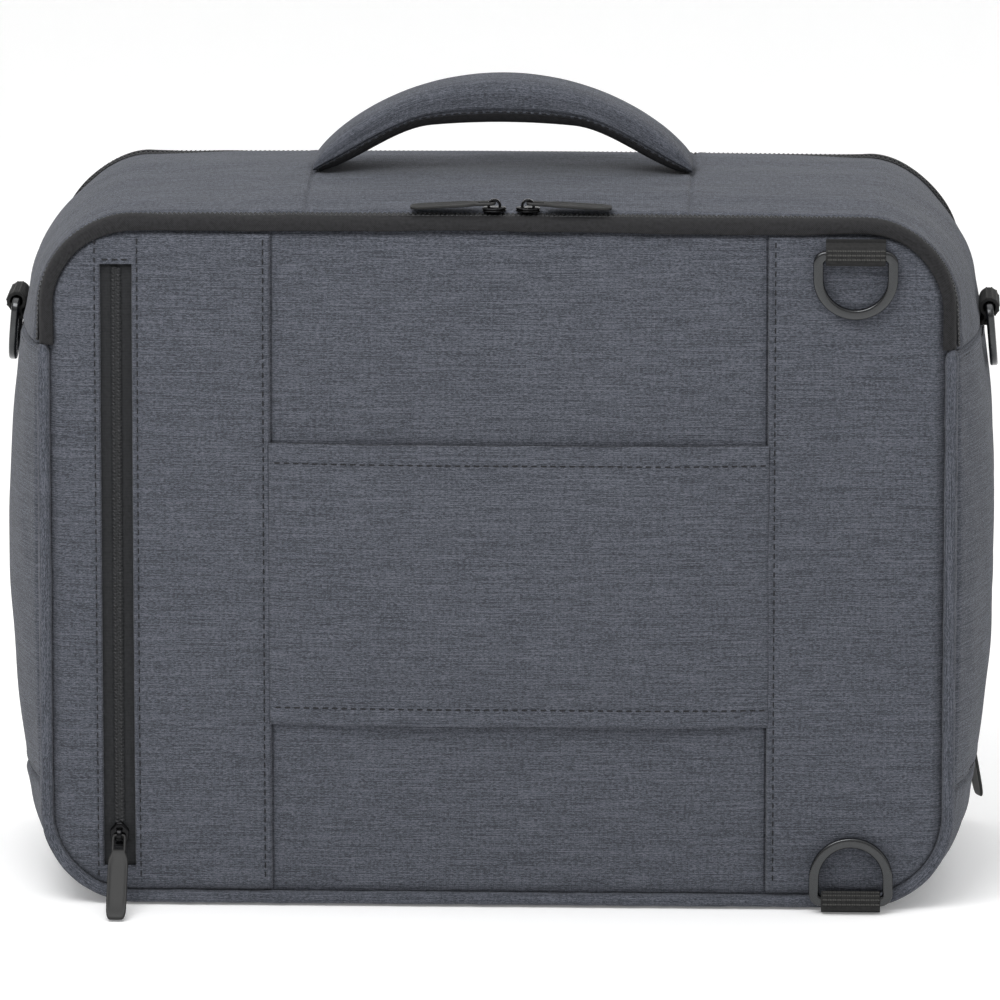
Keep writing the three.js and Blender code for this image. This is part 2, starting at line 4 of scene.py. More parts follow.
import bmesh
import bpy
import numpy as np
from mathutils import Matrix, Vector


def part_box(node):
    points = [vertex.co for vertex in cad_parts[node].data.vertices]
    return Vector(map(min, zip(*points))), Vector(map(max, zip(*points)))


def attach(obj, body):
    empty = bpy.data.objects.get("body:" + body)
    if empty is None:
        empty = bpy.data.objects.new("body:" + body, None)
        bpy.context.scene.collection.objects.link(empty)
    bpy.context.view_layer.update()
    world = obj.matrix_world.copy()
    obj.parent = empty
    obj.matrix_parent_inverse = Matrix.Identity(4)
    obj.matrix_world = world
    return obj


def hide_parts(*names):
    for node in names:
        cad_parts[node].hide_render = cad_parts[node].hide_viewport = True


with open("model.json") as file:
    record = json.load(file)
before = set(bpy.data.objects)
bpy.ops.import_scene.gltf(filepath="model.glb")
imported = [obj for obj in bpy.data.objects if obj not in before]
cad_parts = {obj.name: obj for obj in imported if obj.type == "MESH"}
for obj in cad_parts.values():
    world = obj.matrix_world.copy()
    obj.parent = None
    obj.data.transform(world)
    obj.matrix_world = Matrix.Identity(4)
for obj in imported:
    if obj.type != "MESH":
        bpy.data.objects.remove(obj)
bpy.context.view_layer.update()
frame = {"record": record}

# A soft laptop bag of the three-way kind, dressed over its CAD solids.
# Lengths are millimetres in the case's own frame until a mesh is made: x across, y into the depth from the
# back panel's edge, z up. The case's frame and the row's differ only by a shift in y.

CASE_HALF_WIDTH = 191
CASE_HEIGHT = 292
CASE_DEPTH = 160
TOP_RADIUS = 38
BASE_RADIUS = 38
SIDE_BULGE = 18.4
BULGE_REACH = 148
TOP_CROWN = 8
BASE_SAG = 3
LOWER_SEAM = 52
UPPER_SEAM = 240
LOW = BASE_SAG
HIGH = LOW + CASE_HEIGHT
MIDDLE = (LOW + HIGH) / 2
PIPING = 2.8
BACK_CROWN = 4.5
FRONT_CROWN = 9
POCKET_X = -159.6
POCKET_HALF = 6.6
POCKET_LOW = 17
POCKET_HIGH = 276
SEAM_LEFT = -95
SEAM_RIGHT = 113.7
SLEEVE_LOW = 80
SLEEVE_HIGH = 201
TOP_HEM = 8.2
BOTTOM_HEM = 7.5

# A panel's edge under the piping, and the depths at which a gusset starts under a band or under the piping.
PANEL_HALF = 188.4
PANEL_LOW = 5.2
PANEL_HIGH = 291.9
PANEL_RADIUS = 34
UNDER_BAND = 6.4
UNDER_PIPING = 2.6
GUSSET_THICKNESS = 2.2

# How much wider the far side is, how far its top corners are pulled in, and the heights between which it
# widens.
FLARE = 4
CORNER_PULL = 2.8
FLARE_FROM = 130
FLARE_TO = 265

HANDLE_SEAM = 80.5
HANDLE_HALF_GAP = 78
HANDLE_SLOPE = 48
HANDLE_Y = 84

DEPTH_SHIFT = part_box("back_piping")[0][1] * 1000 + PIPING
JOINTS = {joint["child"]: joint for joint in frame["record"]["behaviour"]["joints"]}


# Arrays of points

def smooth(value, low, high):
    """0 below low, 1 above high, and an even S between them."""
    t = np.clip((value - low) / (high - low), 0, 1)
    return t * t * (3 - 2 * t)


def bump(value, centre, width):
    """A bell of height 1 about a centre."""
    return np.exp(-(((value - centre) / width) ** 2))


def ripple(a, b, size, seed, waves=7):
    """Soft waves in the plane of a and b: a sum of sines of about that size in turned directions."""
    rng = np.random.default_rng(seed)
    turns = rng.uniform(0, np.pi, waves)
    starts = rng.uniform(0, 2 * np.pi, waves)
    sizes = size * rng.uniform(0.6, 1.7, waves)
    total = 0
    for turn, start, length in zip(turns, starts, sizes):
        total = total + np.sin(2 * np.pi * (a * np.cos(turn) + b * np.sin(turn)) / length + start)
    return total / math.sqrt(waves)


def spaced(low, high, step, fine=(), fine_step=0.3, reach=3.5):
    """Even steps from low to high, with finer ones about each place in fine."""
    values = [np.linspace(low, high, max(2, int((high - low) / step) + 1))]
    for place in fine:
        values.append(np.arange(place - reach, place + reach, fine_step))
    values = np.unique(np.round(np.concatenate(values), 3))
    return values[(values >= low) & (values <= high)]


def unit(vectors):
    """Each vector divided by its length."""
    return vectors / np.maximum(np.linalg.norm(vectors, axis=-1, keepdims=True), 1e-9)


def arc_lengths(path):
    """The distance along a path up to each of its points."""
    steps = np.linalg.norm(np.diff(path, axis=0), axis=1)
    return np.concatenate([[0], np.cumsum(steps)])


def at_lengths(at, distance, values):
    """Vectors given at distances along a path, read off at other distances."""
    return np.stack([np.interp(at, distance, values[:, k]) for k in range(3)], -1)


def same(direction, count):
    """One direction, count times."""
    return np.tile(np.asarray(direction, float), (count, 1))


# Meshes

def grid_quads(rows, columns):
    """The four-cornered faces between neighbours in a grid of points."""
    index = np.arange(rows * columns).reshape(rows, columns)
    return np.stack([index[:-1, :-1], index[1:, :-1], index[1:, 1:], index[:-1, 1:]], -1).reshape(-1, 4)


def make_piece(name, vertices, quads, uv, finish, node=None, slot=None, body="bag"):
    """A mesh object from millimetre points, four-cornered faces and, for each point, its place on the cloth.
    node is the CAD node that it stands for. slot is not used."""
    metres = (np.asarray(vertices) + (0, DEPTH_SHIFT, 0)) / 1000
    mesh = bpy.data.meshes.new(name)
    mesh.from_pydata(metres.tolist(), [], quads.tolist())
    layer = mesh.uv_layers.new(name="cloth")
    layer.data.foreach_set("uv", (np.asarray(uv)[quads.ravel()] / 1000).astype(np.float32).ravel())
    edit = bmesh.new()
    edit.from_mesh(mesh)
    bmesh.ops.remove_doubles(edit, verts=edit.verts, dist=2e-6)
    bmesh.ops.dissolve_degenerate(edit, dist=1e-6, edges=edit.edges)
    bmesh.ops.recalc_face_normals(edit, faces=edit.faces)
    edit.to_mesh(mesh)
    edit.free()
    mesh.polygons.foreach_set("use_smooth", np.full(len(mesh.polygons), True))
    piece = bpy.data.objects.new(name, mesh)
    bpy.context.scene.collection.objects.link(piece)
    mesh.materials.append(finish)
    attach(piece, body)
    if node:
        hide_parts(node)
    return piece


def cloth_map(points):
    """Each grid point's place on its cloth, in millimetres: the distances along its row and its column."""
    along = arc_lengths(points[:, points.shape[1] // 2])
    across = arc_lengths(points[points.shape[0] // 2])
    return np.stack(np.meshgrid(along, across, indexing="ij"), -1)


def shell(name, front, back, uv=None, **options):
    """A wall: a grid for its front, one for its back, and the four rims between them."""
    rows, columns = front.shape[:2]
    size = rows * columns
    index = np.arange(size).reshape(rows, columns)
    quads = [grid_quads(rows, columns), grid_quads(rows, columns)[:, ::-1] + size]
    for edge in (index[0], index[-1], index[:, 0], index[:, -1]):
        quads.append(np.stack([edge[:-1], edge[1:], edge[1:] + size, edge[:-1] + size], -1))
    uv = cloth_map(front) if uv is None else uv
    vertices = np.concatenate([front.reshape(-1, 3), back.reshape(-1, 3)])
    return make_piece(name, vertices, np.concatenate(quads), np.tile(uv.reshape(-1, 2), (2, 1)), **options)


def joined(name, solids, **options):
    """One piece made of several closed solids, each a triple of points, faces and cloth places."""
    starts = np.cumsum([0] + [len(points) for points, _, _ in solids])
    quads = np.concatenate([faces + start for (_, faces, _), start in zip(solids, starts)])
    points = np.concatenate([solid[0] for solid in solids])
    return make_piece(name, points, quads, np.concatenate([solid[2] for solid in solids]), **options)


def tube_solid(rings, loop=False):
    """Sections carried along a path: rings[row, point]. The ends are closed to a point unless it is a
    loop."""
    wrapped = np.concatenate([rings, rings[:, :1]], axis=1)
    if loop:
        wrapped = np.concatenate([wrapped, wrapped[:1]])
    uv = cloth_map(wrapped)
    if not loop:
        ends = wrapped[[0, -1]].mean(axis=1, keepdims=True) + 0 * wrapped[[0, -1]]
        wrapped = np.concatenate([ends[:1], wrapped, ends[1:]])
        uv = np.concatenate([uv[:1], uv, uv[-1:]])
    rows, columns = wrapped.shape[:2]
    return wrapped.reshape(-1, 3), grid_quads(rows, columns), uv.reshape(-1, 2)


def tube(name, rings, loop=False, **options):
    """One tube as a piece of its own."""
    return joined(name, [tube_solid(rings, loop)], **options)


def signed_power(value, power):
    """A value's size raised to a power, with the value's own sign."""
    return np.sign(value) * np.abs(value) ** power


def carried(path, side, out, profile):
    """Rings of a profile carried along a path. profile holds (across, outward) pairs; side and out give the
    two directions at each point of the path."""
    across = profile[..., 0:1] * side[:, None, :]
    outward = profile[..., 1:2] * out[:, None, :]
    return path[:, None, :] + across + outward


def rounded(width, height, points=20, power=0.35):
    """A box with rounded corners as (across, outward) pairs: a circle whose sine and cosine are raised to a
    power below 1."""
    turn = np.linspace(0, 2 * np.pi, points, endpoint=False) + np.pi / points
    return np.stack([width / 2 * signed_power(np.cos(turn), power),
                     height / 2 * signed_power(np.sin(turn), power)], -1)


# Materials

def linear(code):
    """An sRGB hex value as linear colour with full alpha."""
    parts = [((code >> shift) & 255) / 255 for shift in (16, 8, 0)]
    return [p / 12.92 if p <= 0.04045 else ((p + 0.055) / 1.055) ** 2.4 for p in parts] + [1.0]


def add(material, kind, settings=None, **links):
    """One node with its settings and its input links. A name starting with an underscore is a property."""
    node = material.node_tree.nodes.new(kind)
    for key, value in (settings or {}).items():
        if isinstance(key, str) and key.startswith("_"):
            setattr(node, key[1:], value)
        else:
            node.inputs[key].default_value = value
    for key, value in links.items():
        material.node_tree.links.new(value, node.inputs[key.replace("_", " ")])
    return node


def blank(name):
    """A new material, its shader and the function that links its nodes."""
    material = bpy.data.materials.new(name)
    material.use_nodes = True
    shader = material.node_tree.nodes["Principled BSDF"]
    return material, shader, material.node_tree.links.new


def set_values(node, values):
    """Sets a node's own sockets by name."""
    for key, value in values.items():
        node.inputs[key].default_value = value


def ramp(material, source, stops):
    """A colour ramp through (position, sRGB hex) stops."""
    node = add(material, "ShaderNodeValToRGB", Fac=source)
    elements = node.color_ramp.elements
    while len(elements) < len(stops):
        elements.new(0.5)
    for element, (position, code) in zip(elements, stops):
        element.position = position
        element.color = linear(code)
    return node.outputs["Color"]


def scaled_uv(material, per_metre_u, per_metre_v):
    """The piece's cloth map with a pattern's repeats per metre along and across the weft."""
    place = add(material, "ShaderNodeTexCoord")
    scale = {"Scale": (per_metre_u, per_metre_v, 1)}
    mapped = add(material, "ShaderNodeMapping", scale, Vector=place.outputs["UV"])
    return mapped.outputs["Vector"]


def melange_canvas(name, dark, middle, light):
    """Polyester canvas in melange yarn, woven plain: short slubs of darker and paler yarn lie along the
    weft. Weft and warp are about 0.4 mm apart and drawn at 0.8 mm to show. Slubs are 8 to 30 mm long."""
    material, shader, link = blank(name)
    slubs = add(material, "ShaderNodeTexNoise",
                {"Scale": 1, "Detail": 5, "Roughness": 0.6, "Distortion": 1.4},
                Vector=scaled_uv(material, 42, 3700))
    threads = add(material, "ShaderNodeTexNoise",
                  {"Scale": 1, "Detail": 3, "Roughness": 0.7, "Distortion": 0.8},
                  Vector=scaled_uv(material, 700, 3700))
    warp = add(material, "ShaderNodeTexNoise", {"Scale": 1, "Detail": 2},
               Vector=scaled_uv(material, 1100, 120))
    mixed = add(material, "ShaderNodeMath", {"_operation": "MULTIPLY_ADD", 1: 0.75},
                Value=slubs.outputs["Fac"])
    link(threads.outputs["Fac"], mixed.inputs[2])
    full = add(material, "ShaderNodeMath", {"_operation": "MULTIPLY_ADD", 1: 0.12}, Value=warp.outputs["Fac"])
    link(mixed.outputs["Value"], full.inputs[2])
    colour = ramp(material, full.outputs["Value"], [(0.6, dark), (0.935, middle), (1.28, light)])
    link(colour, shader.inputs["Base Color"])
    set_values(shader, {"Roughness": 0.88, "Specular IOR Level": 0.25, "Sheen Weight": 0.07,
                        "Sheen Roughness": 0.5})
    weave = weave_height(material, 1250)
    bumped = add(material, "ShaderNodeBump", {"Strength": 0.35, "Distance": 0.0003}, Height=weave)
    grain = add(material, "ShaderNodeBump", {"Strength": 0.3, "Distance": 0.0003},
                Height=full.outputs["Value"], Normal=bumped.outputs["Normal"])
    link(grain.outputs["Normal"], shader.inputs["Normal"])
    return material


def weave_height(material, per_metre):
    """Plain weave: two rows of waves at right angles, multiplied."""
    waves = []
    for direction in ("X", "Y"):
        wave = add(material, "ShaderNodeTexWave",
                   {"_bands_direction": direction, "Scale": 1, "Distortion": 0.6, "Detail": 1},
                   Vector=scaled_uv(material, per_metre / 3.14, per_metre / 3.14))
        waves.append(wave.outputs["Fac"])
    product = add(material, "ShaderNodeMath", {"_operation": "MULTIPLY"}, Value=waves[0])
    material.node_tree.links.new(waves[1], product.inputs[1])
    return product.outputs["Value"]


def dark_twill(name, dark, light, rib_per_metre, rib_direction="X", strength=0.5, roughness=0.85):
    """Dyed polyester tape or webbing: close ribs in one colour, a little paler on their tops."""
    material, shader, link = blank(name)
    rib = add(material, "ShaderNodeTexWave",
              {"_bands_direction": rib_direction, "Scale": 1, "Distortion": 0.4, "Detail": 1},
              Vector=scaled_uv(material, rib_per_metre / 3.14, rib_per_metre / 3.14))
    fuzz = add(material, "ShaderNodeTexNoise", {"Scale": 1, "Detail": 3},
               Vector=scaled_uv(material, 600, 600))
    mixed = add(material, "ShaderNodeMath", {"_operation": "MULTIPLY_ADD", 1: 0.5}, Value=rib.outputs["Fac"])
    link(fuzz.outputs["Fac"], mixed.inputs[2])
    link(ramp(material, mixed.outputs["Value"], [(0.35, dark), (1.05, light)]), shader.inputs["Base Color"])
    set_values(shader, {"Roughness": roughness, "Specular IOR Level": 0.3})
    bumped = add(material, "ShaderNodeBump", {"Strength": strength, "Distance": 0.0004},
                 Height=mixed.outputs["Value"])
    link(bumped.outputs["Normal"], shader.inputs["Normal"])
    return material


def plated_metal(name, code, roughness):
    """Zinc casting with a dark plating: faint mottling where the plating wears."""
    material, shader, link = blank(name)
    place = add(material, "ShaderNodeTexCoord")
    mottle = add(material, "ShaderNodeTexNoise", {"Scale": 900, "Detail": 3}, Vector=place.outputs["Object"])
    span = add(material, "ShaderNodeMapRange", {"To Min": roughness - 0.06, "To Max": roughness + 0.12},
               Value=mottle.outputs["Fac"])
    link(span.outputs["Result"], shader.inputs["Roughness"])
    set_values(shader, {"Base Color": linear(code), "Metallic": 1})
    bumped = add(material, "ShaderNodeBump", {"Strength": 0.06, "Distance": 0.0002},
                 Height=mottle.outputs["Fac"])
    link(bumped.outputs["Normal"], shader.inputs["Normal"])
    return material


def moulded_rubber(name, code):
    """Moulded soft plastic with a fine eroded grain of about 0.3 mm."""
    material, shader, link = blank(name)
    place = add(material, "ShaderNodeTexCoord")
    grain = add(material, "ShaderNodeTexNoise", {"Scale": 2500, "Detail": 2}, Vector=place.outputs["Object"])
    bumped = add(material, "ShaderNodeBump", {"Strength": 0.15, "Distance": 0.0002},
                 Height=grain.outputs["Fac"])
    link(bumped.outputs["Normal"], shader.inputs["Normal"])
    set_values(shader, {"Base Color": linear(code), "Roughness": 0.55})
    return material


CANVAS = melange_canvas("melange_canvas", 0x21242a, 0x3d4047, 0x60636c)
ZIP_TAPE = dark_twill("zip_tape_twill", 0x17181a, 0x2a2b2d, 1500, "Y", 0.3)
BINDING = dark_twill("rolled_binding", 0x0a0a0b, 0x29292b, 2300, "DIAGONAL", 0.4)
WEBBING = dark_twill("ribbed_webbing", 0x131313, 0x2a2a2a, 1500, "X", 0.5)
# Thread for the webbing's stitched rows: paler than the webbing, a painted highlight along each row.
PAINTED_HIGHLIGHT_ROWS = dark_twill("painted_highlight_rows", 0x2b2b2a, 0x4a4a48, 1500, "X", 0.5)
COIL = dark_twill("nylon_coil", 0x111213, 0x2e2f31, 1400, "X", 0.2, 0.4)
THREAD = dark_twill("sewing_thread", 0x0c0c0e, 0x26272b, 1800, "X", 0.3, 0.7)
GUNMETAL = plated_metal("gunmetal_plating", 0x48494a, 0.2)
BLACK_METAL = plated_metal("black_plating", 0x242425, 0.18)
PULL = moulded_rubber("moulded_pull", 0x101010)


# The case's outline

STRAIGHT = CASE_HALF_WIDTH - BASE_RADIUS
BASE_ARC = math.pi / 2 * BASE_RADIUS
SIDE_END = STRAIGHT + BASE_ARC + CASE_HEIGHT - BASE_RADIUS - TOP_RADIUS
TOP_ARC_END = SIDE_END + math.pi / 2 * TOP_RADIUS
HALF_LENGTH = TOP_ARC_END + CASE_HALF_WIDTH - TOP_RADIUS


def outline(s):
    """A rounded rectangle by the distance s along it, from the middle of the base, up the right side, over
    the top and down the left side: x, z and the outward normal's x and z."""
    s = np.mod(s, 2 * HALF_LENGTH)
    mirrored = s > HALF_LENGTH
    t = np.where(mirrored, 2 * HALF_LENGTH - s, s)
    low_turn = (t - STRAIGHT) / BASE_RADIUS - math.pi / 2
    high_turn = (t - SIDE_END) / TOP_RADIUS
    where = [t < STRAIGHT, t < STRAIGHT + BASE_ARC, t < SIDE_END, t < TOP_ARC_END, t >= TOP_ARC_END]
    nx = np.select(where, [0 * t, np.cos(low_turn), 0 * t + 1, np.cos(high_turn), 0 * t])
    nz = np.select(where, [0 * t - 1, np.sin(low_turn), 0 * t, np.sin(high_turn), 0 * t + 1])
    side_z = LOW + BASE_RADIUS + t - STRAIGHT - BASE_ARC
    top_straight = CASE_HALF_WIDTH - TOP_RADIUS
    x = np.select(where, [t, STRAIGHT + BASE_RADIUS * nx, 0 * t + CASE_HALF_WIDTH,
                          top_straight + TOP_RADIUS * nx, top_straight - (t - TOP_ARC_END)])
    z = np.select(where, [0 * t + LOW, LOW + BASE_RADIUS + BASE_RADIUS * nz, side_z,
                          HIGH - TOP_RADIUS + TOP_RADIUS * nz, 0 * t + HIGH])
    sign = np.where(mirrored, -1, 1)
    return sign * x, z, sign * nx, nz


def seam_at(height):
    """The distance along the outline to a height on its straight right side."""
    return STRAIGHT + BASE_ARC + height - LOW - BASE_RADIUS


LOW_CUT = seam_at(LOWER_SEAM)
HIGH_CUT = seam_at(UPPER_SEAM)
FULL_LENGTH = 2 * HALF_LENGTH


def flare(z, nx, share):
    """How much wider the case is at a depth than at its near edge, in its upper half. The far top corners
    are pulled in a little."""
    side, deep = np.abs(nx), np.clip(share, 0, 1) ** 1.6
    pull = CORNER_PULL * smooth(z, 240, 280) * smooth(side, 0, 0.85)
    return (FLARE * side * smooth(z, FLARE_FROM, FLARE_TO) - pull) * deep


def swell(x, z, nx, nz, share):
    """How far the soft skin stands outside the outline, as in the CAD. Towards the far side's upper corners
    it lies flatter and wider, so that the far zip band shows there."""
    across = 1 - np.abs(2 * share - 1) ** 3
    fade = np.maximum(0, 1 - (np.abs(z - MIDDLE + 3) / BULGE_REACH) ** 2.2)
    flatter = 1 - 0.75 * smooth(z, 205, 262) * smooth(share, 0.5, 0.92)
    sideways = np.abs(nx) * SIDE_BULGE * fade * across * flatter + flare(z, nx, share)
    upwards = np.maximum(nz, 0) * TOP_CROWN * (1 - 0.6 * (np.abs(x) / CASE_HALF_WIDTH) ** 2) * across
    downwards = np.maximum(-nz, 0) * BASE_SAG * np.minimum(1, 2.2 * across)
    return sideways + upwards + downwards


def on_outline(s, depth, out):
    """The point at a distance along the outline, at a depth, and out from it."""
    x, z, nx, nz = outline(s)
    return np.stack([x + nx * out, depth + 0 * x, z + nz * out], -1)


def skin(s, depth, lift=0):
    """The gusset's outer face, and lift above it."""
    x, z, nx, nz = outline(s)
    return on_outline(s, depth, swell(x, z, nx, nz, depth / CASE_DEPTH) + lift)


def outwards_at(s):
    """The outward direction at distances along the outline."""
    _, _, nx, nz = outline(s)
    return np.stack([nx, 0 * nx, nz], -1)


def panel_y(x, z, crown=BACK_CROWN):
    """How far a padded panel's face stands out from its edge plane: two cubic crowns multiplied, as in the
    CAD."""
    wide = 1 - np.minimum(1, np.abs(x) / 186.3) ** 3
    tall = 1 - np.minimum(1, np.abs(z - MIDDLE) / 141.3) ** 3
    return 1.2 + crown * wide * tall


def inside(x, z, half_width, low, high, radius):
    """The distance from a point in to the edge of a rounded rectangle."""
    dx = np.abs(x) - (half_width - radius)
    dz = np.abs(z - (low + high) / 2) - ((high - low) / 2 - radius)
    outer = np.hypot(np.maximum(dx, 0), np.maximum(dz, 0))
    return radius - outer - np.minimum(np.maximum(dx, dz), 0)


# Gussets: the soft ring, with a pinch and a fold at each cross seam

def gusset(name, start, stop, near, far, node):
    """Rows follow the outline and columns the depth. Soft dents, a roll down to each edge, and a pinch at
    the cross seams lie on the CAD's own skin."""
    cross = [HALF_LENGTH - HANDLE_SEAM, HALF_LENGTH + HANDLE_SEAM]
    s = spaced(start, stop, 2.2, [start, stop] + cross, 0.4)
    depth = spaced(near, far, 2.2, (near, far), 0.4)
    S, D = np.meshgrid(s, depth, indexing="ij")
    edge = np.minimum(D - near, far - D)
    lift = 0.5 * ripple(S, D, 70, 3) * smooth(edge, 3, 26) + 0.16 * ripple(S, D, 26, 5) * smooth(edge, 1, 12)
    lift = lift - 1.6 * (1 - smooth(edge, -0.6, 3.2)) + 0.35 * bump(edge, 4.2, 2.4)
    for place in (start, stop):
        away = np.abs(S - place)
        lift = lift - (1.1 * bump(away, 0, 1.3) - 0.35 * bump(away, 3.4, 2.2))
    x, z, _, nz = outline(S)
    handle_seam = np.abs(np.abs(x) - HANDLE_SEAM) + 99 * (nz < 0.9)
    lift = lift - 0.9 * bump(handle_seam, 0, 0.8) + 0.3 * bump(handle_seam, 2.6, 1.6)
    corner = smooth(np.abs(x), 105, 165) * smooth(z, 250, 275)
    lift = lift - 1.3 * corner * smooth(D, 112, 148)
    lift = np.where((nz < -0.6), np.minimum(lift, 0), lift) * np.where(nz < -0.99, 0.25, 1)
    uv = np.stack([D, S], -1) if stands_upright(S) else None
    shell(name, skin(S, D, lift), skin(S, D, -GUSSET_THICKNESS), uv=uv, finish=CANVAS, node=node)


def stands_upright(S):
    """Whether a gusset piece is one of the sides, where the slubs run across it: its middle faces
    sideways."""
    return np.abs(outline(S.mean())[2]) > 0.5


gusset("top_gusset_cloth", HIGH_CUT, FULL_LENGTH - HIGH_CUT, UNDER_BAND, CASE_DEPTH - UNDER_BAND,
       "top_gusset")
gusset("right_gusset_cloth", LOW_CUT, HIGH_CUT, UNDER_PIPING, CASE_DEPTH - UNDER_BAND, "right_side_gusset")
gusset("left_gusset_cloth", FULL_LENGTH - HIGH_CUT, FULL_LENGTH - LOW_CUT, UNDER_PIPING,
       CASE_DEPTH - UNDER_BAND, "left_side_gusset")
gusset("base_gusset_cloth", -LOW_CUT, LOW_CUT, UNDER_PIPING, CASE_DEPTH - UNDER_PIPING, "base_gusset")


# Zip bands: rolled tape that covers each long zip

def band(name, start, stop, node, far=False):
    """A quarter round carried along the outline. Its inner edge wanders by about a millimetre, as sewn tape
    does, and its face is softly padded."""
    s = spaced(start, stop, 1.6)
    turn = np.linspace(0, np.pi / 2, 22)
    S, T = np.meshgrid(s, turn, indexing="ij")
    inset = 4.5 + 0.55 * ripple(S, 0 * S, 150, 11, 4) + 0.15 * ripple(S, 0 * S, 40, 12, 4)
    _, z, nx, _ = outline(S)
    wider = flare(z, nx, 1 + 0 * S) if far else 0
    end = np.minimum(S - start, stop - S)
    puff = 0.5 * np.sin(2 * T) + 0.14 * ripple(S, T * 6, 30, 13) - 0.5 * (1 - smooth(end, 0, 1.5))

    def wall(thin):
        """The tape's surface, a thickness inside its outer face."""
        out = wider - inset + (inset + 1.2 + puff - thin) * np.sin(T) ** 0.85
        depth = 6.9 - (9.3 + puff - thin) * np.cos(T) ** 0.85
        return on_outline(S, CASE_DEPTH - depth if far else depth, out)

    shell(name, wall(0 * S), wall(1.9 * smooth(T, 0, 0.12)), uv=np.stack([S, T * 6], -1), finish=BINDING,
          node=node)


band("main_band", HIGH_CUT, FULL_LENGTH - HIGH_CUT, "main_zip_tape")
band("front_band", LOW_CUT, FULL_LENGTH - LOW_CUT, "front_zip_tape", far=True)


# Piping: a cord under cloth, with the seam's flange beside it

def piping(name, start, stop, node, depth):
    """A circle carried along the outline, a little uneven along its length and slimmer at both ends."""
    s = spaced(start, stop, 1.6)
    turn = np.linspace(0, 2 * np.pi, 20, endpoint=False)
    S, T = np.meshgrid(s, turn, indexing="ij")
    end = np.minimum(S - start, stop - S)
    uneven = 0.1 * ripple(S, T * 2, 22, 21) + 0.05 * ripple(S, T * 2, 7, 22)
    radius = 2.75 - 1.0 * (1 - smooth(end, 0.3, 3)) + uneven
    rings = on_outline(S, depth + radius * np.sin(T), -0.6 + radius * np.cos(T))
    tube(name, rings, finish=CANVAS, node=node)


piping("back_piping_cord", -HIGH_CUT - 1.5, HIGH_CUT + 1.5, "back_piping", 0)
piping("front_piping_cord", -LOW_CUT - 1.5, LOW_CUT + 1.5, "front_piping", CASE_DEPTH)


# Panels

STITCH_INSET = 2.9


def back_relief(x, z):
    """What the sewing does to the back panel's face, outwards: the two upright seams, where the outer cloth
    is folded over the middle one, the channel of the pocket zip, and soft dents."""
    left_raised = 1 - smooth(x, SEAM_LEFT - 0.25, SEAM_LEFT + 0.25)
    fold = 1.25 * (left_raised + smooth(x, SEAM_RIGHT - 0.25, SEAM_RIGHT + 0.25))
    for seam, side in ((SEAM_LEFT, -1), (SEAM_RIGHT, 1)):
        fold = fold - 0.45 * bump(x, seam + side * STITCH_INSET, 0.9) + 0.5 * bump(x, seam + side * 6.5, 3.2)
        fold = fold - 0.6 * bump(x, seam - side * 1.2, 1.4) - 1.5 * bump(x, seam - side * 0.3, 0.42)
        fold = fold + 0.4 * bump(x, seam + side * 1.1, 0.8)
    above_end = smooth(z, POCKET_LOW - 0.4, POCKET_LOW + 0.4)
    upright = above_end * (1 - smooth(z, POCKET_HIGH - 0.4, POCKET_HIGH + 0.4))
    away = np.abs(x - POCKET_X)
    channel = -3.7 * (1 - smooth(away, POCKET_HALF - 0.25, POCKET_HALF + 0.35)) * upright
    lips = 0.55 * bump(away, POCKET_HALF + 1.1, 0.9) - 0.4 * bump(away, POCKET_HALF + 2.3, 0.6)
    dents = 0.35 * ripple(x, z, 90, 31) + 0.12 * ripple(x, z, 30, 32)
    return fold + channel + lips + dents


def panel(name, node, crown, relief, depth_of, xs, zs, wider=0):
    """A padded plate with rounded corners. Columns beyond the edge close up on it, and the face rolls back
    there under the piping."""
    X, Z = np.meshgrid(xs, zs, indexing="ij")
    half_height = (PANEL_HIGH - PANEL_LOW) / 2
    rise = np.maximum(np.abs(Z - (PANEL_LOW + PANEL_HIGH) / 2) - (half_height - PANEL_RADIUS), 0)
    width = PANEL_HALF - PANEL_RADIUS + np.sqrt(np.maximum(PANEL_RADIUS ** 2 - rise ** 2, 0))
    X = np.clip(X, -width, width)
    edge = np.maximum(inside(X, Z, PANEL_HALF, PANEL_LOW, PANEL_HIGH, PANEL_RADIUS), 0)
    face = panel_y(X, Z, crown) + relief(X, Z) * smooth(edge, 0, 5) - 3.4 * (1 - smooth(edge, -2, 5.5))
    spread = X * (1 + wider / PANEL_HALF * smooth(Z, FLARE_FROM, FLARE_TO))
    front = np.stack([spread, depth_of(-face), Z], -1)
    back = np.stack([spread, depth_of(-face + 0.02 + 3.8 * smooth(edge, 0, 6)), Z], -1)
    piece = shell(name, front, back, uv=np.stack([X, Z], -1), finish=CANVAS, node=node, slot="padded_cloth")


def panel_steps(low, high, step, fine):
    """Steps that close up towards both ends, where the corners turn."""
    ends = PANEL_RADIUS * (1 - np.cos(np.linspace(0, np.pi / 2, 22)))
    middle = spaced(low + PANEL_RADIUS, high - PANEL_RADIUS, step)
    return np.unique(np.concatenate([low + ends, middle, high - ends, spaced(low, high, 60, fine)]))


def front_relief(x, z):
    """Soft dents in the front panel."""
    return 0.4 * ripple(x, z, 90, 41) + 0.12 * ripple(x, z, 30, 42)


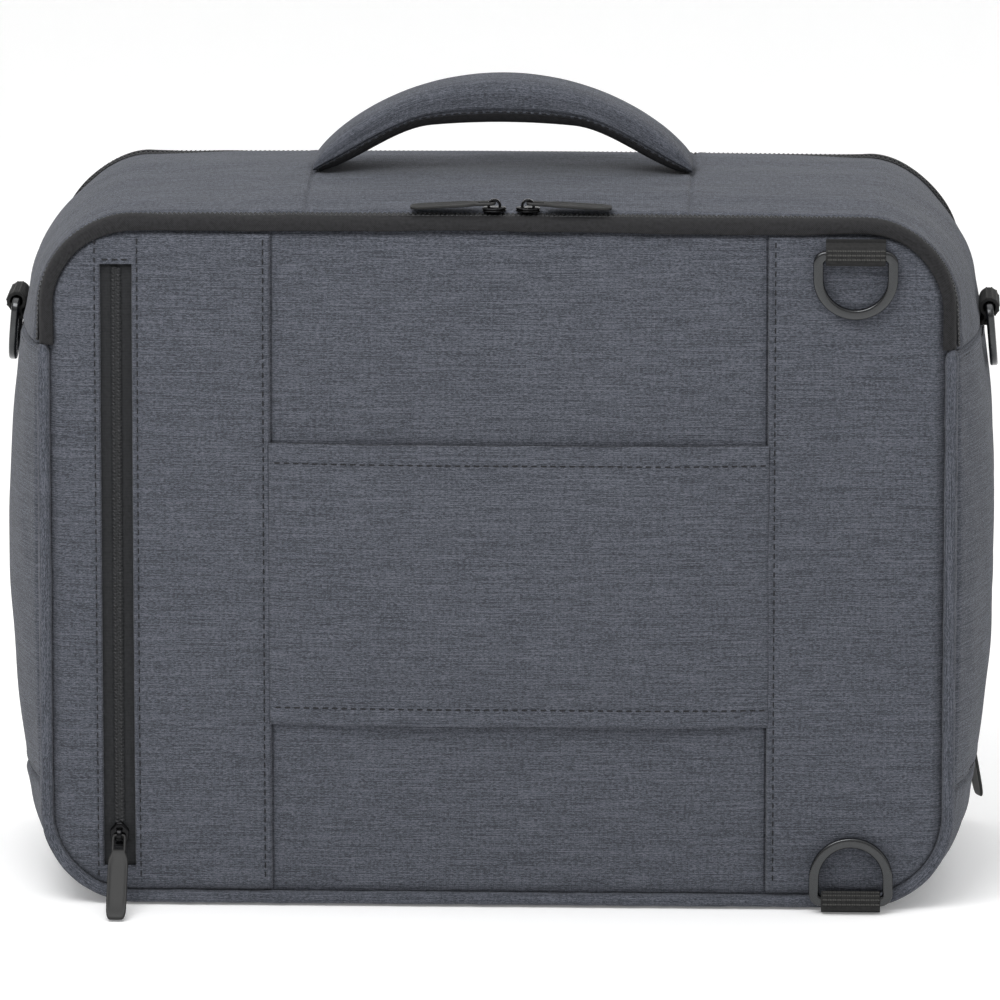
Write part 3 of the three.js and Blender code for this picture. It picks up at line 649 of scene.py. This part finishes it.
POCKET_EDGES = (POCKET_X - POCKET_HALF, POCKET_X + POCKET_HALF)
panel("back_panel_cloth", "back_panel", BACK_CROWN, back_relief, lambda face: face,
      panel_steps(-PANEL_HALF, PANEL_HALF, 2.4, (SEAM_LEFT, SEAM_RIGHT) + POCKET_EDGES),
      panel_steps(PANEL_LOW, PANEL_HIGH, 2.4, (POCKET_LOW, POCKET_HIGH)))
panel("front_panel_cloth", "front_panel", FRONT_CROWN, front_relief, lambda face: CASE_DEPTH - face,
      panel_steps(-PANEL_HALF, PANEL_HALF, 3, ()), panel_steps(PANEL_LOW, PANEL_HIGH, 3, ()), FLARE)


def back_face(x, z):
    """The depth of the dressed back panel's face, negative towards the viewer."""
    return -(panel_y(x, z) + back_relief(x, z))


# Trolley sleeve

SLEEVE_CENTRE = (SEAM_LEFT + SEAM_RIGHT) / 2
SLEEVE_HALF = (SEAM_RIGHT - SEAM_LEFT) / 2


def sleeve_y(x, z):
    """The sleeve's outer face: off the panel by up to 7 mm in its middle, down to it at both seams. Each hem
    is a fold, thicker by its second layer."""
    share = (x - SLEEVE_CENTRE) / SLEEVE_HALF
    top, bottom = SLEEVE_HIGH - z, z - SLEEVE_LOW
    close = 0.62 * (1 - smooth(np.minimum(top, bottom), 0, 34))
    stand = 1.7 + 5.6 * (1 - np.abs(share) ** 4) * (1 - close)
    hem = 0.5 * (1 - smooth(top, 8.1, 9.0)) + 0.45 * (1 - smooth(bottom, 7.4, 8.3))
    stitched = 0.35 * (bump(top, TOP_HEM, 0.6) + bump(bottom, BOTTOM_HEM, 0.6))
    roll = -0.9 * (1 - smooth(np.minimum(top, bottom), 0, 1.3)) - stitched
    dents = 0.3 * ripple(x, z, 80, 51) + 0.1 * ripple(x, z, 25, 52)
    return -(panel_y(x, z) + stand + hem + roll + dents * (1 - share ** 4))


def sleeve_sag(x, z):
    """How far the sleeve's upper hem hangs down in its middle."""
    return 0.3 * smooth(z, SLEEVE_HIGH - 30, SLEEVE_HIGH) * (1 - ((x - SLEEVE_CENTRE) / SLEEVE_HALF) ** 2)


def sleeve():
    """The sleeve as one sheet 1.4 mm thick, its stitched hems and both edges drawn finer."""
    x = spaced(SEAM_LEFT - 0.6, SEAM_RIGHT + 0.6, 1.6)
    hems = (SLEEVE_LOW + BOTTOM_HEM, SLEEVE_HIGH - TOP_HEM)
    z = spaced(SLEEVE_LOW, SLEEVE_HIGH, 1.6, hems + (SLEEVE_LOW, SLEEVE_HIGH), 0.3)
    X, Z = np.meshgrid(x, z, indexing="ij")
    front = np.stack([X, sleeve_y(X, Z), Z - sleeve_sag(X, Z)], -1)
    piece = shell("trolley_sleeve_cloth", front, front + (0, 1.4, 0), uv=np.stack([X, Z + 37], -1),
                  finish=CANVAS, node="trolley_sleeve")


sleeve()


# Pocket zip

STEPS_PER_TOOTH = 7


def zip_coil(name, start, stop, place, across, out, node=None, pitch=1.5, half=3.0, columns=15):
    """A coil zip's closed row: a low strip whose face rises in slanted teeth on both sides of a centre line.
    place and out turn a distance along the zip into a point and a direction, and across is one direction."""
    t = np.arange(start, stop, pitch / STEPS_PER_TOOTH)
    w = np.linspace(-1, 1, columns)
    T, W = np.meshgrid(t, w, indexing="ij")
    slant = T + np.sign(W) * np.abs(W) * 0.35 + (W > 0) * pitch / 2
    tooth = 0.5 + 0.5 * np.cos(2 * np.pi * slant / pitch)
    row = bump(np.abs(W), 0.5, 0.34)
    height = 0.2 + 0.95 * row * (0.1 + 0.9 * tooth ** 0.8)
    middle = place(t)[:, None, :]
    side = np.array(across) * (W * half)[..., None]
    front = middle + side + out(t)[:, None, :] * height[..., None]
    back = middle + side - out(t)[:, None, :] * 0.3
    shell(name, front, back, uv=np.stack([T, W * half], -1), finish=COIL, node=node)


def tape_y(z):
    """The depth of the pocket zip's tape: sunk 1.2 mm under the panel's crown."""
    return -(panel_y(POCKET_X, z)) + 1.2


def pocket_zip():
    """The tape in the panel's channel, raised in a line on each side of the coil, and the coil on it."""
    x = np.linspace(POCKET_X - POCKET_HALF - 0.4, POCKET_X + POCKET_HALF + 0.4, 20)
    z = spaced(POCKET_LOW - 0.3, POCKET_HIGH + 0.3, 2)
    X, Z = np.meshgrid(x, z, indexing="ij")
    away = np.abs(X - POCKET_X)
    front = np.stack([X, tape_y(Z) + 0.25 * bump(away, 2.6, 0.5), Z], -1)
    shell("pocket_tape", front, front + (0, 0.9, 0), uv=np.stack([X, Z], -1), finish=ZIP_TAPE,
          node="pocket_zip_tape")
    zip_coil("pocket_coil", POCKET_LOW + 8, POCKET_HIGH - 1,
             lambda t: np.stack([0 * t + POCKET_X, tape_y(t) - 0.1, t], -1), (1, 0, 0),
             lambda t: same((0, -1, 0), len(t)), node="pocket_zip_coil", pitch=1.7, half=2.1)


pocket_zip()


# The coils of the two long zips, between each band and the gusset

def long_coil(name, start, stop, depth):
    """A coil along the outline, 0.5 mm under the skin. Its teeth are coarser than the pocket's, being hardly
    seen."""
    zip_coil(name, start, stop, lambda t: skin(t, 0 * t + depth, -0.5), (0, 1, 0), outwards_at, pitch=2.0,
             half=2.2, columns=11)


long_coil("main_coil", HIGH_CUT + 2, FULL_LENGTH - HIGH_CUT - 2, UNDER_BAND)
long_coil("front_coil", LOW_CUT + 2, FULL_LENGTH - LOW_CUT - 2, CASE_DEPTH - UNDER_BAND)


# Stitches

def stitches(name, runs, length=3.0, pitch=4.0, radius=0.42, finish=THREAD):
    """Thread laid along each run of points: one slim, slightly sunk bead for each stitch. A run is a path
    and the outward direction on it."""
    turn = np.linspace(0, 2 * np.pi, 7)
    along = np.linspace(-1, 1, 6)
    A, T = np.meshgrid(along, turn, indexing="ij")
    girth = np.sqrt(np.maximum(1 - A ** 2, 0)) ** 0.6
    unit_bead = np.stack([A * length / 2, girth * radius * np.cos(T), girth * radius * np.sin(T) * 0.8], -1)
    beads, uvs = [], []
    for path, out in runs:
        distance = arc_lengths(path)
        at = np.arange(pitch / 2, distance[-1], pitch)
        centre = at_lengths(at, distance, path)
        forward = unit(at_lengths(at + 0.5, distance, path) - at_lengths(at - 0.5, distance, path))
        outward = at_lengths(at, distance, out)
        outward = unit(outward - forward * np.sum(outward * forward, -1, keepdims=True))
        side = np.cross(forward, outward)
        basis = np.stack([forward, side, outward], -2)
        beads.append(centre[:, None, None, :] + unit_bead[None] @ basis[:, None])
        uvs.append(np.broadcast_to(np.stack([A, T], -1), beads[-1].shape[:-1] + (2,)))
    beads, uvs = np.concatenate(beads), np.concatenate(uvs)
    count, rows, columns = beads.shape[:3]
    quads = grid_quads(rows, columns)[None] + (np.arange(count) * rows * columns)[:, None, None]
    make_piece(name, beads.reshape(-1, 3), quads.reshape(-1, 4), uvs.reshape(-1, 2), finish)


def on_panel(x, z):
    """A run of stitches on the back panel, sunk 0.05 mm into it."""
    x, z = np.broadcast_arrays(np.asarray(x, float), np.asarray(z, float))
    return np.stack([x, back_face(x, z) + 0.05, z], -1), same((0, -1, 0), len(x))


def on_sleeve(z):
    """A run of stitches across the sleeve, sunk 0.05 mm into it."""
    x = np.linspace(SEAM_LEFT + 1, SEAM_RIGHT - 1, 120)
    z = z + 0 * x
    return np.stack([x, sleeve_y(x, z) + 0.05, z - sleeve_sag(x, z)], -1), same((0, -1, 0), len(x))


def on_gusset(s, depth):
    """A run of stitches across a gusset, 0.1 mm above its skin."""
    s, depth = np.broadcast_arrays(np.asarray(s, float), np.asarray(depth, float))
    return skin(s, depth, 0.1), outwards_at(s)


heights = np.linspace(12, 286, 200)
stitches("panel_stitches", [on_panel(SEAM_LEFT - STITCH_INSET, heights),
                            on_panel(SEAM_RIGHT + STITCH_INSET, heights),
                            on_panel(POCKET_X - POCKET_HALF - 2.3, heights),
                            on_panel(POCKET_X + POCKET_HALF + 2.3, heights),
                            on_panel(np.linspace(POCKET_X - 6.4, POCKET_X + 6.4, 30), POCKET_HIGH + 2.2)])
stitches("sleeve_stitches", [on_sleeve(SLEEVE_HIGH - TOP_HEM), on_sleeve(SLEEVE_LOW + BOTTOM_HEM)])
depths = np.linspace(5, 154, 90)
stitches("gusset_stitches", [on_gusset(sign * cut, depths) for sign in (1, -1)
                             for cut in (HIGH_CUT - 3.2, LOW_CUT + 3.2)])


# Rings: a cast D carried round its path with a softly bevelled section

RING_HALF = 15.6
RING_LENGTH = 25.0
RING_CORNER = 3.2
BACK_RING_TILT = 2
SIDE_RING_TILT = 5


def arc(cx, cz, radius, start, stop, count):
    """Points on a circle's arc in the plane y = 0, between two angles in degrees."""
    turn = np.radians(np.linspace(start, stop, count))
    return np.stack([cx + radius * np.cos(turn), 0 * turn, cz + radius * np.sin(turn)], -1)


def ring_path(points=150):
    """The D's middle line in its own plane: the straight bar through the origin, and the bow below it."""
    pieces = [arc(RING_HALF - RING_CORNER, -RING_CORNER, RING_CORNER, 90, 0, 10),
              arc(0, RING_HALF - RING_LENGTH, RING_HALF, 0, -180, 60),
              arc(RING_CORNER - RING_HALF, -RING_CORNER, RING_CORNER, 180, 90, 10)]
    rough = np.concatenate(pieces + [pieces[0][:1]])
    distance = arc_lengths(rough)
    return at_lengths(np.linspace(0, distance[-1], points, endpoint=False), distance, rough)


def turned(points, angle_x=0.0, angle_z=0.0):
    """Points turned about X and then about Z, in degrees."""
    a, b = math.radians(angle_x), math.radians(angle_z)
    about_x = np.array([[1, 0, 0], [0, math.cos(a), -math.sin(a)], [0, math.sin(a), math.cos(a)]])
    about_z = np.array([[math.cos(b), -math.sin(b), 0], [math.sin(b), math.cos(b), 0], [0, 0, 1]])
    return points @ about_x.T @ about_z.T


def pivot_of(node):
    """Where a joint's child turns, in the case's frame."""
    place = np.array(JOINTS[node]["pos_m"]) * 1000
    return place - (0, DEPTH_SHIFT, 0)


def round_loop(path, profile):
    """Rings of a profile carried round a closed path in the plane y = 0."""
    ahead = np.roll(path, -1, 0) - np.roll(path, 1, 0)
    up = same((0, 1, 0), len(path))
    return carried(path, unit(np.cross(ahead, up)), up, profile[None])


def ring(prefix, ring_turn, frame_turn):
    """A ring 4.3 by 3.4 mm thick, turned about its bar and then to its side of the case."""
    rings = round_loop(ring_path(), rounded(4.3, 3.4, 32, 0.5))
    rings = turned(rings, ring_turn, frame_turn) + pivot_of(f"{prefix}_ring")
    tube(f"{prefix}_ring_cast", rings, loop=True, finish=GUNMETAL, node=f"{prefix}_ring",
         body=f"{prefix}_ring")


WEBBING_WIDTH = 25.0
WEBBING_THICKNESS = 1.6
WEBBING_BORE = 2.62


def webbing_path(length, surface):
    """The fold's middle line across its width: up the surface, round the bar's front and underside in an
    arc, and up over the first layer. Both layers ease in to the surface over their length."""
    middle = WEBBING_BORE + WEBBING_THICKNESS / 2
    fold = arc(0, 0, middle, -242, 62, 44)[:, [1, 0, 2]]
    rise = np.linspace(0, 1, 22)[:, None]
    ease = rise * rise * (3 - 2 * rise)

    def layer(begin, offset, power):
        """One layer, easing from the fold to its end at a distance off the surface."""
        end = np.array([0, surface - offset, length])
        return begin + (end - begin) * np.hstack([rise, ease ** power, rise])

    return np.concatenate([layer(fold[0], 0.85, 0.8)[::-1], fold[1:-1], layer(fold[-1], 2.55, 0.55)])


def folded_webbing(prefix, frame_turn, tail_down, length, near, rows):
    """Webbing folded round a ring's bar: down the front, round the bar and up the back, its two layers
    pressed together where rows of thread hold them. A tail that runs down is the same fold, mirrored in z.
    rows are distances along the fold from its foremost line."""
    path = webbing_path(length, near - 0.3)
    forward = unit(np.gradient(path, axis=0))
    side = same((1, 0, 0), len(path))
    inwards = unit(np.cross(side, forward))
    mirror = np.array([1, 1, -1 if tail_down else 1])

    def place(points):
        """From the bar's frame to the case's."""
        return turned(points * mirror, 0, frame_turn) + pivot_of(f"{prefix}_ring")

    profile = rounded(WEBBING_WIDTH, WEBBING_THICKNESS, 48, 0.2)
    tube(f"{prefix}_webbing_loop", place(carried(path, side, inwards, profile[None])), finish=WEBBING,
         node=f"{prefix}_webbing")
    distance = arc_lengths(path)
    at = distance[np.argmin(path[:, 1])] + np.array(rows)
    centres = at_lengths(at, distance, path - inwards * WEBBING_THICKNESS / 2)
    facings = at_lengths(at, distance, -inwards)
    across = np.linspace(-11.8, 11.8, 40)[:, None] * np.array([1, 0, 0])
    runs = [(place(centre + across), turned(same(facing * mirror, 40), 0, frame_turn))
            for centre, facing in zip(centres, facings)]
    # The rows' thread carries a painted highlight: it is paler than the webbing it holds.
    stitches(f"{prefix}_painted_highlight_rows", runs, 2.8, 2.0, 0.42, PAINTED_HIGHLIGHT_ROWS)


ring("upper", BACK_RING_TILT, 0)
ring("lower", 180 - BACK_RING_TILT, 0)
ring("right_side", -SIDE_RING_TILT, 90)
ring("left_side", -SIDE_RING_TILT, -90)


def near_case(node):
    """How far the CAD's webbing ends from its ring's bar, towards the case."""
    low, high = [np.array(corner) * 1000 - (0, DEPTH_SHIFT, 0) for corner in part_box(f"{node}_webbing")]
    pivot = pivot_of(f"{node}_ring")
    return low - pivot, high - pivot


side_rows = np.arange(-9, 6.5, 1.9)
low, high = near_case("upper")
folded_webbing("upper", 0, False, high[2], high[1], (-2.4, -0.9, 0.6))
low, high = near_case("lower")
folded_webbing("lower", 0, True, -low[2], high[1], (-0.6, 1.0, 2.6, 4.2))
low, high = near_case("right_side")
folded_webbing("right_side", 90, True, -low[2], -low[0], side_rows)
folded_webbing("left_side", -90, True, -low[2], -low[0], side_rows)


# Sliders and pulls, each in its own frame: x across the zip, y outwards from it, z along it. The pull's bar
# turns at PIVOT above the zip.

PIVOT = 3.6
YOKE_LENGTH = 8.6
PULL_END = 0.8
POCKET_PULL = 41
MAIN_PULL = 36
FRONT_PULL = 48


def plate(half_outline, profile):
    """An outline drawn in once for each step of a profile of (scale, height) pairs, closed above and
    below."""
    middle = half_outline.mean(axis=0)
    scale, height = profile[:, 0, None], profile[:, 1, None]
    x = middle[0] + (half_outline[None, :, 0] - middle[0]) * scale
    z = middle[1] + (half_outline[None, :, 1] - middle[1]) * scale
    return np.stack([x, height + 0 * x, z], -1)


def shield(points=56):
    """A slider's plate from above: 8 mm wide, narrowing to 4 mm at its fore end."""
    turn = np.linspace(0, 2 * np.pi, points, endpoint=False)
    c, s = np.cos(turn), np.sin(turn)
    z = 5.1 * signed_power(s, 0.6)
    half = 4 - 0.7 * smooth(-z, 0, 5) - 1.9 * smooth(z, 1.5, 5.1)
    return np.stack([half * signed_power(c, 0.45), z], -1)


def slider_solids():
    """The lower plate, the upper plate over it, and the bridge that holds the pull."""
    lower = np.array([[0.5, 0.1], [0.94, 0.1], [1, 0.3], [1, 0.65], [0.94, 0.8], [0.5, 0.8]])
    upper = np.array([[0.5, 0.9], [0.92, 0.9], [0.99, 1.1], [0.99, 1.5], [0.93, 1.78], [0.8, 1.9],
                      [0.4, 1.96]])
    turn = np.radians(np.linspace(-20, 200, 26))
    out = np.stack([0 * turn, np.sin(turn), np.cos(turn)], -1)
    path = np.array([0, 2.4, 0]) + 2.42 * out
    widths = (1 + 0.35 * (1 - np.sin(turn)))[:, None, None]
    profile = rounded(2.1, 1.2, 20, 0.5)[None] * np.concatenate([widths, 1 + 0 * widths], 2)
    bridge = carried(path, same((1, 0, 0), len(path)), out, profile)
    waist = plate(shield() * (0.3, 0.55), np.array([[0.8, 0.5], [1, 0.6], [1, 1.2], [0.8, 1.3]]))
    return [plate(shield(), lower), plate(shield(), upper), waist, bridge]


def pull_solids(length):
    """A round-wire yoke through the bridge, and a moulded tab on it: flat faces, bevelled edges and a raised
    rim round a long field."""
    turn = np.linspace(0, 2 * np.pi, 60, endpoint=False)
    c, s = np.cos(turn), np.sin(turn)
    yoke_path = np.stack([2.5 * signed_power(c, 0.35), 0 * c,
                          YOKE_LENGTH / 2 * (signed_power(s, 0.4) - 1)], -1)
    yoke = round_loop(yoke_path, rounded(1.35, 1.35, 12, 0.9))
    top, bottom = -6.6, PULL_END - length
    z = (top + bottom) / 2 + (top - bottom) / 2 * signed_power(s, 0.3)
    half = 4.3 - 1.1 * smooth(z, top - 6, top) - 0.25 * smooth(-z, length - 5, length)
    outline_points = np.stack([half * signed_power(c, 0.3), z], -1)
    rim = np.array([[0.5, 0.45], [0.74, 0.45], [0.8, 0.62], [0.93, 0.66], [0.985, 0.5], [1, 0.2]])
    tab = plate(outline_points, np.concatenate([rim * (1, -1), rim[::-1]]))
    return yoke, tab


def slider(prefix, outwards, along, lift, length):
    """A slider at its CAD place and the pull at the angle it is parked at."""
    outwards, along = np.array(outwards, float), np.array(along, float)
    basis = np.stack([np.cross(outwards, along), outwards, along])
    origin = pivot_of(f"{prefix}_pull") - outwards * PIVOT

    def place(points):
        """From the slider's frame to the case's."""
        return points @ basis + origin

    def at_bar(points):
        """From the pull's own frame, lifted about its bar, to the case's."""
        return place(turned(points, lift) + (0, PIVOT, 0))

    solids = [tube_solid(place(rings)) for rings in slider_solids()]
    joined(f"{prefix}_slider_cast", solids, finish=BLACK_METAL, node=f"{prefix}_slider")
    yoke, tab = pull_solids(length)
    joined(f"{prefix}_pull_tab", [tube_solid(at_bar(yoke), loop=True), tube_solid(at_bar(tab))],
           body=f"{prefix}_pull", finish=PULL, node=f"{prefix}_pull")


POCKET_SLIDER_Z = POCKET_LOW + 14
POCKET_LIFT = math.degrees(math.acos((POCKET_SLIDER_Z - 1) / (POCKET_PULL - PULL_END)))
SIDE_TURN = math.radians(25)
slider("pocket_zip", (0, -1, 0), (0, 0, 1), POCKET_LIFT, POCKET_PULL)
slider("main_zip_left", (0, 0, 1), (1, 0, 0), -3, MAIN_PULL)
slider("main_zip_right", (0, 0, 1), (-1, 0, 0), -3, MAIN_PULL)
slider("front_zip", (math.cos(SIDE_TURN), math.sin(SIDE_TURN), 0), (0, 0, 1), 11, FRONT_PULL)


# Handle: foam under canvas, with a dark binding sewn along the underside

HANDLE_BASE = HIGH + TOP_CROWN * (1 - 0.6 * (HANDLE_HALF_GAP / CASE_HALF_WIDTH) ** 2) + 0.3


def handle_half(angle):
    """Half the handle's depth: 13 mm at its feet and 15 mm from a third of the way up."""
    return 13 + 2 * np.minimum(1, 2 * np.sin(angle))


def handle_path(angle, out):
    """A point between the arch's underside, out 0, and its top, out 1. The underside is an S on each side
    mixed with a parabola."""
    c, s = np.cos(angle), np.maximum(np.sin(angle), 0)
    x = HANDLE_SEAM * c
    rise = smooth(HANDLE_HALF_GAP - np.abs(x), 0, HANDLE_SLOPE)
    low = 22.1 * (0.55 * rise + 0.45 * np.maximum(1 - (x / 79) ** 2, 0))
    high = 3.4 + 36.9 * s ** 1.55
    return np.stack([x, HANDLE_Y + 0 * x, HANDLE_BASE + low * (1 - out) + high * out], -1)


def handle():
    """Sections from foot to foot: a rounded box between the two curves. A seam runs along the front and the
    back where the upper canvas is folded over the lower, and the grip is softly creased."""
    angle = np.linspace(0, np.pi, 150)
    turn = np.linspace(0, 2 * np.pi, 96, endpoint=False)
    A, T = np.meshgrid(angle, turn, indexing="ij")
    up, depth = signed_power(np.sin(T), 0.62), signed_power(np.cos(T), 0.62)
    seam = -0.7 * bump(up, -0.42, 0.05) + 0.4 * bump(up, -0.28, 0.1)
    crease = 0.14 * ripple(A * 70, up * 14, 26, 61) + 0.05 * ripple(A * 70, up * 14, 9, 62)
    share = 0.5 + 0.5 * up * (1 + 0.012 * crease)
    points = handle_path(A, share)
    points[..., 1] += depth * (handle_half(A) - 0.35 + (seam + crease) * (np.abs(depth) > 0.5))
    tube("handle_cover", points, finish=CANVAS, node="handle")


def handle_binding():
    """A strip of dark tape round the lower edge, 0.6 mm proud, with a row of thread along each side."""
    angle = np.linspace(0.25, np.pi - 0.25, 150)
    low = np.linspace(-1, 1, 40)
    A, W = np.meshgrid(angle, low, indexing="ij")
    depth = np.sign(W) * (1 - (1 - np.abs(W)) ** 1.6) * (handle_half(A) - 0.2)
    share = 0.02 + 0.2 * smooth(np.abs(W), 0.6, 1) ** 1.3

    def wall(proud):
        """The strip's surface, standing proud of the handle's."""
        points = handle_path(A, share - proud / 18 * (1 - smooth(np.abs(W), 0.75, 1)))
        points[..., 1] += depth + np.sign(W) * proud * smooth(np.abs(W), 0.5, 0.9)
        return points

    shell("handle_binding", wall(0.55), wall(-0.35), uv=np.stack([A * 68, W * 15], -1), finish=BINDING)
    runs = []
    a = np.linspace(0.22, np.pi - 0.22, 220)
    for sign in (-1, 1):
        line = handle_path(a, 0.26 + 0 * a)
        line[:, 1] += sign * (handle_half(a) + 0.4)
        runs.append((line, same((0, sign, 0), len(a))))
    stitches("handle_stitches", runs, 2.6, 3.4, 0.35)


handle()
handle_binding()


# Stage, light and camera

def floor_material():
    """Matt white paper, lit a little from within so that it stays white at its far side."""
    material, shader, _ = blank("pale_floor")
    set_values(shader, {"Base Color": linear(0xfdfdfd), "Emission Color": (1, 1, 1, 1),
                        "Emission Strength": 0.14, "Roughness": 0.9})
    return material


def stage():
    """A pale sheet that runs up behind the bag in a wide curve."""
    x = np.linspace(-6000, 6000, 3)
    t = np.linspace(0, 1, 40)
    y = np.concatenate([np.linspace(-6000, 2500, 6)[:-1], 2500 + 1500 * np.sin(t * np.pi / 2), [4000]])
    z = np.concatenate([np.zeros(5), 1500 * (1 - np.cos(t * np.pi / 2)), [6000]])
    X, Y = np.meshgrid(x, y, indexing="ij")
    Z = np.broadcast_to(z, X.shape)
    mesh = bpy.data.meshes.new("floor")
    points = np.stack([X, Y, Z], -1).reshape(-1, 3) / 1000
    mesh.from_pydata(points.tolist(), [], grid_quads(*X.shape).tolist())
    mesh.polygons.foreach_set("use_smooth", np.full(len(mesh.polygons), True))
    mesh.materials.append(floor_material())
    floor = bpy.data.objects.new("floor", mesh)
    bpy.context.scene.collection.objects.link(floor)


def area_light(name, place, target, size, power):
    """A white softbox aimed at a target, in metres and watts."""
    data = bpy.data.lights.new(name, "AREA")
    data.shape = "RECTANGLE"
    data.size, data.size_y = size
    data.energy = power
    light = bpy.data.objects.new(name, data)
    bpy.context.scene.collection.objects.link(light)
    aim(light, place, target)


def aim(thing, place, target):
    """Puts a light or camera at a place and points it at a target."""
    thing.location = place
    thing.rotation_mode = "QUATERNION"
    thing.rotation_quaternion = (Vector(target) - Vector(place)).to_track_quat("-Z", "Y")


def camera(azimuth, elevation, distance, target, millimetres_per_pixel):
    """A long lens at the photograph's angle. The target is what the photograph's middle pixel shows."""
    data = bpy.data.cameras.new("camera")
    data.sensor_width = 36
    data.lens = data.sensor_width * distance / millimetres_per_pixel
    data.clip_end = 100
    eye = bpy.data.objects.new("camera", data)
    bpy.context.scene.collection.objects.link(eye)
    a, e = math.radians(azimuth), math.radians(elevation)
    back = np.array([math.sin(a) * math.cos(e), -math.cos(a) * math.cos(e), math.sin(e)])
    middle = (np.array(target) + (0, DEPTH_SHIFT, 0)) / 1000
    aim(eye, middle + back * distance, middle)
    bpy.context.scene.camera = eye


def studio():
    """A white surround that is brighter above and behind the bag and darker at the sides, and three
    softboxes."""
    world = bpy.data.worlds.new("studio")
    world.use_nodes = True
    link = world.node_tree.links.new
    place = add(world, "ShaderNodeTexCoord")
    parts = add(world, "ShaderNodeSeparateXYZ", Vector=place.outputs["Generated"])
    lean = add(world, "ShaderNodeMath", {"_operation": "MULTIPLY_ADD", 1: 0.8}, Value=parts.outputs["Y"])
    link(parts.outputs["Z"], lean.inputs[2])
    sides = add(world, "ShaderNodeMath", {"_operation": "ABSOLUTE"}, Value=parts.outputs["X"])
    less = add(world, "ShaderNodeMath", {"_operation": "MULTIPLY_ADD", 1: -1.3}, Value=sides.outputs["Value"])
    link(lean.outputs["Value"], less.inputs[2])
    glow = add(world, "ShaderNodeMapRange",
               {"From Min": -0.9, "From Max": 0.7, "To Min": 0.36, "To Max": 1.25},
               Value=less.outputs["Value"])
    background = world.node_tree.nodes["Background"]
    link(glow.outputs["Result"], background.inputs["Strength"])
    set_values(background, {"Color": (1, 1, 1, 1)})
    bpy.context.scene.world = world
    area_light("key", (-0.3, -0.75, 1.15), (0, 0, 0.27), (0.9, 0.6), 9.5)
    area_light("top", (0.3, 0.4, 2.4), (0, 0, 0.2), (2.2, 1.4), 5)
    area_light("fill", (1.8, -1.6, 0.9), (0, 0, 0.15), (1.4, 1.4), 3)
    bpy.context.scene.view_settings.view_transform = "Standard"


stage()
studio()
camera(1.9, 12, 4.5, (1.3, 0, 176), 0.42)
